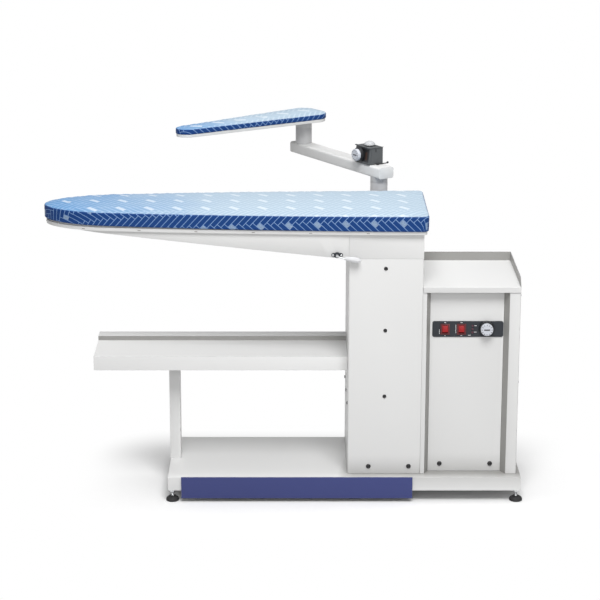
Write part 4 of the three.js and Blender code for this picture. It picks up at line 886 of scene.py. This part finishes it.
# The radius in mm of the edges of each kind of part
ROUNDED = (
    (0.7, ("base_pan", "column_shell", "column_rear_cover", "column_top_box", "wedge_duct", "cabinet_shell",
           "cabinet_front_panel", "cabinet_side_cover", "iron_shelf", "cloth_tray", "tray_post", "pedal_bar",
           "board_pan", "sleeve_pan", "arm_bracket")),
    (0.35, ("control_plate", "vacuum_rocker_housing", "vacuum_rocker", "heater_rocker_housing", "heater_rocker",
            "thermostat_body", "arm_thermostat_body", "arm_control_housing", "damper_flange", "cable_gland")),
    (0.3, ("arm_post", "sleeve_pillar", "damper_lever")),
    (1.5, ("arm_tube",)))
finished = {name: softened(name, radius * MM) for radius, names in ROUNDED for name in names}


def graded(piece, cuts, value):
    """Cuts a piece's faces at planes and gives each point its share of painted shade, which fades between."""
    bm = bmesh.new()
    bm.from_mesh(piece.data)
    for spot, way in cuts:
        bmesh.ops.bisect_plane(bm, geom=bm.verts[:] + bm.edges[:] + bm.faces[:], plane_co=spot, plane_no=way)
    bm.to_mesh(piece.data)
    bm.free()
    marks = [value(*vertex.co) for vertex in piece.data.vertices]
    piece.data.attributes.new("painted_shade", "FLOAT", "POINT").data.foreach_set("value", marks)


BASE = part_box("base_pan")
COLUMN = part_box("column_shell")
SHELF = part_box("iron_shelf")
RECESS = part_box("cabinet_front_panel")
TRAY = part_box("cloth_tray")
DECK_Z = 0.678
NECK_Z = 1.044


def shade_base_top(piece):
    """Paints shade on the top of the base in front of the column and cabinet, most of all next to them."""
    start, full, behind = COLUMN[0][0] - 0.03, COLUMN[0][0] + 0.02, COLUMN[0][1] + 0.005

    def share(x, y, z):
        on_top = x > full - 0.001 and y < behind + 0.001 and z > BASE[1][2] - 0.0002
        return 0.45 + 0.5 * (y - BASE[0][1]) / (behind - BASE[0][1]) if on_top else 0.0

    graded(piece, (((start, 0, 0), (1, 0, 0)), ((full, 0, 0), (1, 0, 0)), ((0, behind, 0), (0, 1, 0))), share)


def shade_foot(piece, most=0.3, reach=0.06):
    """Paints shade at the foot of a sheet that stands on the base, thinning out up the sheet."""
    foot = BASE[1][2]
    graded(piece, [((0, 0, foot + reach), (0, 0, 1))], lambda x, y, z: max(0.0, most * (1 - (z - foot) / reach)))


# Painted shade on the upstands of shelf and tray, beside the recess, on the base's top and at the foot; the necks
# painted as the pillars are
shade_faces(finished["iron_shelf"], lambda middle, way: middle.z > DECK_Z and (
    way.y < -0.5 and middle.y > SHELF[1][1] - 0.01 or way.x < -0.5 and middle.x > SHELF[1][0] - 0.01))
shade_faces(finished["cabinet_shell"], lambda middle, way: middle.y < RECESS[1][1] and abs(way.x) > 0.15
       and RECESS[0][0] - 0.02 < middle.x < RECESS[1][0] + 0.02)
shade_faces(finished["cloth_tray"], lambda middle, way: way.y < -0.5 and middle.y > TRAY[0][1] + 0.05)
shade_base_top(finished["base_pan"])
shade_foot(finished["column_shell"])
shade_foot(finished["cabinet_front_panel"])
painted(finished["sleeve_pan"], "pillar_paint", lambda middle: middle.z < NECK_Z)
painted(finished["arm_tube"], "pillar_paint", lambda middle: middle.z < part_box("arm_post")[1][2] + 0.0005)


# Feet

PAD = [(0, 0), (18.6, 0), (20, 1.4), (20, 6), (18.4, 9.6), (14.5, 12.4), (10, 13.8), (9.5, 16), (0, 16)]
TURNS, PITCH = 14, 1.5
THREAD = [(0, 9)] + [spot for i in range(TURNS) for spot in (
    (4.3, 12 + i * PITCH), (5.0, 12.75 + i * PITCH))] + [(0, 33)]
NUT = [(0, 27.6), (hexagon(7.2), 27.6), (hexagon(7.5), 28.4), (hexagon(7.5), 35.2), (hexagon(7.2), 36), (0, 36)]

for name in [name for name in nodes if name.startswith("foot_pad")]:
    low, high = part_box(name)
    middle = Matrix.Translation(((low[0] + high[0]) / 2, (low[1] + high[1]) / 2, 0))
    keep(turned_piece(name + "_turned", PAD, middle, FINISHES[SLOT_OF[name]]), "frame", SLOT_OF[name], name)
    stem = name.replace("pad", "stem")
    steel = FINISHES["bare_steel"]
    keep(turned_piece(stem + "_thread", THREAD, middle, steel, 0.05 * MM, steps=32), "frame", "bare_steel")
    keep(turned_piece(stem + "_nut", NUT, middle, steel, steps=48), "frame", "bare_steel", stem)


# Dials

DIAL_RADIUS = 21
FACE_HEIGHT = 20.5
TICKS = {"Count": 12, "Radius": DIAL_RADIUS * 0.72 * MM, "Size": (3.0 * MM, 1.5 * MM, 1.3 * MM),
         "Finish": PRINT_BLACK}


def dial(name, node, body, place):
    """A black skirt with a white disc in front of it, ticks round the disc and a dark bar across its middle."""
    wide, narrow = DIAL_RADIUS * 1.13, DIAL_RADIUS * 1.06
    skirt = turned_piece(name + "_skirt", [(0, 0.6), (wide, 0.6), (wide, 4), (narrow, 10), (0, 10)], place,
                         FINISHES["dial_skirt"])
    keep(skirt, body, "black_plastic")
    rim = fluted(DIAL_RADIUS * 0.9, 0.35, 40)
    profile = [(0, 8.5), (DIAL_RADIUS * 0.86, 8.5), (rim, 9.5), (rim, 19), (DIAL_RADIUS * 0.87, 20.4),
               (DIAL_RADIUS * 0.6, 20.9), (DIAL_RADIUS * 0.57, FACE_HEIGHT), (0, FACE_HEIGHT)]
    disc = turned_piece(name + "_disc", profile, place, FINISHES["dial_face"], 0.15 * MM, steps=160)
    keep(disc, body, SLOT_OF[node], node)
    face = place @ Matrix.Translation((0, 0, FACE_HEIGHT * MM))
    keep(grown(name + "_ticks", RING, bpy.data.meshes.new("ticks"), TICKS, face), body, "black_plastic")
    bar = new_piece(name + "_pointer", box_mesh((DIAL_RADIUS * 0.86 * MM, 3.6 * MM, 0.7 * MM), face), PRINT_BLACK)
    keep(round_edges(bar, 0.2 * MM), body, "black_plastic")


dial("board_dial", "thermostat_knob", "board_dial", facing((0, -1, 0), joint_place("board_dial_spindle")))
dial("arm_dial", "arm_thermostat_knob", "sleeve_dial",
     facing(joints["sleeve_dial_spindle"]["axis"], joint_place("sleeve_dial_spindle")))
DOME = [(0, -3.5), (5, -3.5), (5, 3.3), (18, 3.3), (18, 4.6), (17.2, 7.2), (15, 10.2), (11.8, 12.6), (7.5, 14.4),
        (3, 15.2), (0, 15.3)]
button = turned_piece("arm_button_dome", DOME, Matrix.Translation(joint_place("sleeve_button_slide")),
                      FINISHES["dome_face"])
keep(button, "sleeve_button", SLOT_OF["arm_button"], "arm_button")


# The arm's control housing and the ring on its post

ARM_TURN = math.radians(122.8)
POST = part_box("arm_post")
ARM_FRAME = (Matrix.Translation(((POST[0][0] + POST[1][0]) / 2, (POST[0][1] + POST[1][1]) / 2, 0))
             @ Matrix.Rotation(ARM_TURN, 4, "Z"))


def arm_box(name, along, across, heights, look, turn):
    """A small plate on the arm, by its reach along the arm, across it towards the dial, and up, in mm."""
    spans = [(along[1] - along[0]) * MM, (across[1] - across[0]) * MM, (heights[1] - heights[0]) * MM]
    middle = Vector(((along[0] + along[1]) / 2, (across[0] + across[1]) / 2, heights[0])) * MM
    place = ARM_FRAME @ Matrix.Translation(middle) @ Matrix.Rotation(turn, 4, "X")
    plate = new_piece(name, box_mesh(spans, place), FINISHES[look])
    slot = "dark_paint" if look == "arm_paint" else "black_plastic"
    keep(round_edges(plate, 0.3 * MM), nodes["arm_control_housing"]["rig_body"], slot)


LOW, HIGH = (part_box("arm_control_housing")[i][2] / MM for i in (0, 1))
SLANT = math.atan2(6, 54)
for name, along, across, heights, look, turn in (
        ("housing_end_plate", (12.6, 14.2), (-21, 21), (LOW + 2, HIGH - 1.5), "arm_paint", 0),
        ("housing_flange", (14, 93), (22, 30), (HIGH - 0.4, HIGH + 1.6), "arm_paint", 0),
        # a black sheet for the shade inside a slot: painted shade
        ("housing_slot", (12.3, 12.7), (2, 6), (HIGH - 14, HIGH - 4), "black_plastic", 0),
        ("housing_end_flange", (10.5, 13.5), (-24, 26), (HIGH - 0.4, HIGH + 1.2), "arm_paint", 0),
        # a black sheet for the shade inside the opening: painted shade
        ("housing_opening", (19, 60), (28.6, 29.5), (LOW + 7, HIGH - 6), "black_plastic", SLANT),
        ("terminal_board", (27, 37), (28.2, 29.9), (LOW + 13, HIGH - 15), "brown_board", SLANT)):
    arm_box(name, along, across, heights, look, turn)
RING_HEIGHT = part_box("arm_tube")[0][2] + 20 * MM
RING_PROFILE = [(27.2, -1.6), (28.2, -1.4), (28.4, 0), (28.2, 1.4), (27.2, 1.6), (27.2, -1.6)]
post_ring = turned_piece("post_ring", RING_PROFILE, ARM_FRAME @ Matrix.Translation((0, 0, RING_HEIGHT)),
                         FINISHES["pillar_paint"])
keep(post_ring, nodes["arm_post"]["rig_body"], "pillar_paint")


# The bead between the column and the cabinet

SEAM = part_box("cabinet_shell")[0]
BEAD_SIZE = (0.0022, 0.0013, SHELF[0][2] - 0.001 - SEAM[2])
bead = box_mesh(BEAD_SIZE, Matrix.Translation((SEAM[0] - 0.00015, COLUMN[0][1] + 0.0006, SEAM[2] + 0.0005)))
keep(new_piece("column_bead", bead, FINISHES["casing"]), "frame", "casing")


# Screws

HEAD_SIZE = 12
HEAD = part_shape("button_head", turned_mesh([
    (0, -1), (5.8, -1), (6, 0.2), (5.7, 1.4), (4.7, 2.5), (3.2, 3.1), (hexagon(2.0), 3.1), (hexagon(1.9), 0.9),
    (0, 0.9)], steps=48))
FRONT, BACK, LEFT, RIGHT = (0, -1, 0), (0, 1, 0), (-1, 0, 0), (1, 0, 0)
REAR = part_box("column_rear_cover")
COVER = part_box("cabinet_side_cover")
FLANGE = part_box("damper_flange")


def screws(name, places, way, size, material=SCREW_BLACK, slot="black_plastic"):
    """Screw heads of a size in mm at some places, all facing one way."""
    base = points_mesh(name, places, [way] * len(places))
    piece = grown(name, PLACED, base, {"Part": HEAD, "Scale": size / HEAD_SIZE, "Finish": material})
    smooth(piece)
    keep(piece, "frame", slot)


screws("column_front_screws", [(0.3074, COLUMN[0][1], z) for z in (0.7357, 0.5408, 0.330)], FRONT, 12)
screws("column_foot_screws", [(x, COLUMN[0][1], 0.102) for x in (0.26, 0.3846)], FRONT, 15)
screws("recess_screws", [(x, RECESS[0][1], 0.1027) for x in (0.4821, 0.6387)], FRONT, 15)
screws("column_side_screws", [(COLUMN[0][0], y, 0.295) for y in (-0.361, -0.230, -0.094)], LEFT, 11)
screws("side_cover_screws", [(COVER[1][0], -0.386, z) for z in (0.648, 0.372, 0.096)], RIGHT, 9)
screws("flange_screws", [(x, FLANGE[0][1], 0.7786) for x in (FLANGE[0][0] + 0.005, FLANGE[1][0] - 0.005)],
       FRONT, 7, FINISHES["bare_steel"], "bare_steel")
screws("rear_cover_screws", [(x, REAR[1][1], z) for x in (REAR[0][0] + 0.012, REAR[1][0] - 0.012)
                             for z in (0.11, 0.42, 0.73)], BACK, 9)


# The guard over the fan's outlet

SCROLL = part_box("fan_scroll")
GAPS = 7


def outlet_guard():
    """Thin bars across the outlet, fixed to the rear cover."""
    left, right = SCROLL[1][0] - 0.056, SCROLL[1][0] + 0.003
    low, high = SCROLL[0][2] - 0.003, SCROLL[1][2] + 0.003
    middle, up, back = (left + right) / 2, high - low, REAR[1][1]
    bars = [((right - left, 0.0012, 0.0016), (middle, back + 0.0009, low + up * i / GAPS)) for i in range(GAPS + 1)]
    bars += [((0.0018, 0.0014, up), (x, back + 0.0021, low)) for x in (left + 0.002, middle, right - 0.002)]
    meshes = [box_mesh(size, Matrix.Translation(place)) for size, place in bars]
    keep(joined("outlet_guard", meshes, FINISHES["bare_steel"]), "frame", "bare_steel")


outlet_guard()


# Clips that hold the cover on the lip of the pan

LIP_Z = 0.8462
CLIP_SIZE = (0.009, 0.0012, 0.0018)
CLIP_SPACING = 0.175


def clips():
    places = [BOARD_PLACE @ Vector((p.x * MM, p.y * MM, LIP_Z)) for p in full_outline(BOARD, 20)]
    base = bpy.data.meshes.new("lip_line")
    base.from_pydata(places, [(i, (i + 1) % len(places)) for i in range(len(places))], [])
    clip = part_shape("lip_clip", box_mesh(CLIP_SIZE, Matrix.Identity(4)))
    piece = grown("lip_clips", EDGE, base, {"Part": clip, "Spacing": CLIP_SPACING, "Finish": CLIP_GREY})
    keep(piece, "frame", "black_plastic")


clips()


# Marks printed on the control plate

PLATE_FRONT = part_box("control_plate")[0][1]
SWITCHES = [joint_place("vacuum_rocker_hinge").x / MM, joint_place("heater_rocker_hinge").x / MM]
LAMP_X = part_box("lamp_1")[1][0] / MM
COLUMNS = ((SWITCHES[0], 6, 532.0), (SWITCHES[1], 11, 541.0))


def plate_marks():
    """Thin printed bars in place of lettering: each is x, z, width and height in mm."""
    bars = [(x, z, w, 1.6) for x in SWITCHES for z, w in ((559.6, 6.0), (518.2, 4.0))]
    bars += [(x - 17.2, middle + 2.4 * (i - tall / 2), 1.6, 1.6)
             for x, tall, middle in COLUMNS for i in range(tall)]
    bars += [(LAMP_X + dx, z, 1.9, 1.8) for z in (550.0, 529.5) for dx in (2.6, 5.2, 7.8)]
    bars += [(SWITCHES[1] + dx, 519.4, 1.9, 2.2) for dx in (21.5, 24.2, 27.0)]
    front = PLATE_FRONT + 0.02 * MM
    meshes = [box_mesh((w * MM, h * MM, 0.12 * MM), facing(FRONT, (x * MM, front, z * MM))) for x, z, w, h in bars]
    keep(joined("plate_marks", meshes, PRINT_WHITE), "frame", "dark_paint")


plate_marks()


# Floor and light

FLOOR_RADIUS = 14
FLOOR_PAINT = (0.9, 0.9, 0.9, 1)
BOUNCED = (0.48, 0.48, 0.48, 1)
SHADOW_FADE = 0.3


def floor():
    """A pale floor that shows only the soft shadow near the feet and is plain white beyond it."""
    bm = bmesh.new()
    bmesh.ops.create_circle(bm, cap_ends=True, radius=FLOOR_RADIUS, segments=96)
    material, tree, surface = new_material("floor")
    surface.inputs["Roughness"].default_value = 0.9
    surface.inputs["Specular IOR Level"].default_value = 0.1
    white = shader(tree, "Emission", {"Color": (1, 1, 1, 1), "Strength": 1.0}).outputs[0]
    path = shader(tree, "LightPath").outputs
    feed(tree, surface.inputs["Base Color"], mixed(tree, path["Is Diffuse Ray"], FLOOR_PAINT, BOUNCED))
    through = calc(tree, "MAXIMUM", path["Is Glossy Ray"], path["Is Transmission Ray"])
    seen = calc(tree, "MAXIMUM", path["Is Camera Ray"], through)
    axes = shader(tree, "SeparateXYZ", [object_place(tree)]).outputs
    beyond = []
    for axis, middle, reach in ((axes[0], 0.19, 0.56), (axes[1], -0.25, 0.20)):
        off = calc(tree, "ABSOLUTE", calc(tree, "SUBTRACT", axis, middle))
        beyond.append(calc(tree, "MAXIMUM", calc(tree, "SUBTRACT", off, reach), 0.0))
    away = shader(tree, "VectorMath", [shader(tree, "CombineXYZ", beyond).outputs[0]], operation="LENGTH")
    whiter = calc(tree, "MULTIPLY", seen, spread(tree, away.outputs["Value"], 0.0, SHADOW_FADE))
    shown = shader(tree, "MixShader", [whiter, surface.outputs[0], white]).outputs[0]
    feed(tree, tree.nodes["Material Output"].inputs["Surface"], shown)
    new_piece("floor", bm, material)


WORLD_LIGHT = 0.37
AIM = (0.05, -0.2, 0.6)


def light():
    world = bpy.data.worlds.new("studio")
    bpy.context.scene.world = world
    world.use_nodes = True
    tree = world.node_tree
    background = tree.nodes["Background"]
    background.inputs["Color"].default_value = (1, 1, 1, 1)
    path = shader(tree, "LightPath").outputs
    strength = calc(tree, "MULTIPLY_ADD", path["Is Camera Ray"], 1 - WORLD_LIGHT, WORLD_LIGHT)
    feed(tree, background.inputs["Strength"], strength)
    add_lamp("key", (0.5, -3.5, 5.3), AIM, (2.8, 2.4), 265)
    add_lamp("overhead", (0.1, 0.1, 4.4), (0.1, -0.15, 0.8), (2.6, 1.6), 44)
    add_lamp("fill", (0.5, -5.4, 2.2), AIM, (4.0, 2.4), 60)


floor()
light()
set_camera()
bpy.context.scene.view_settings.view_transform = "Standard"
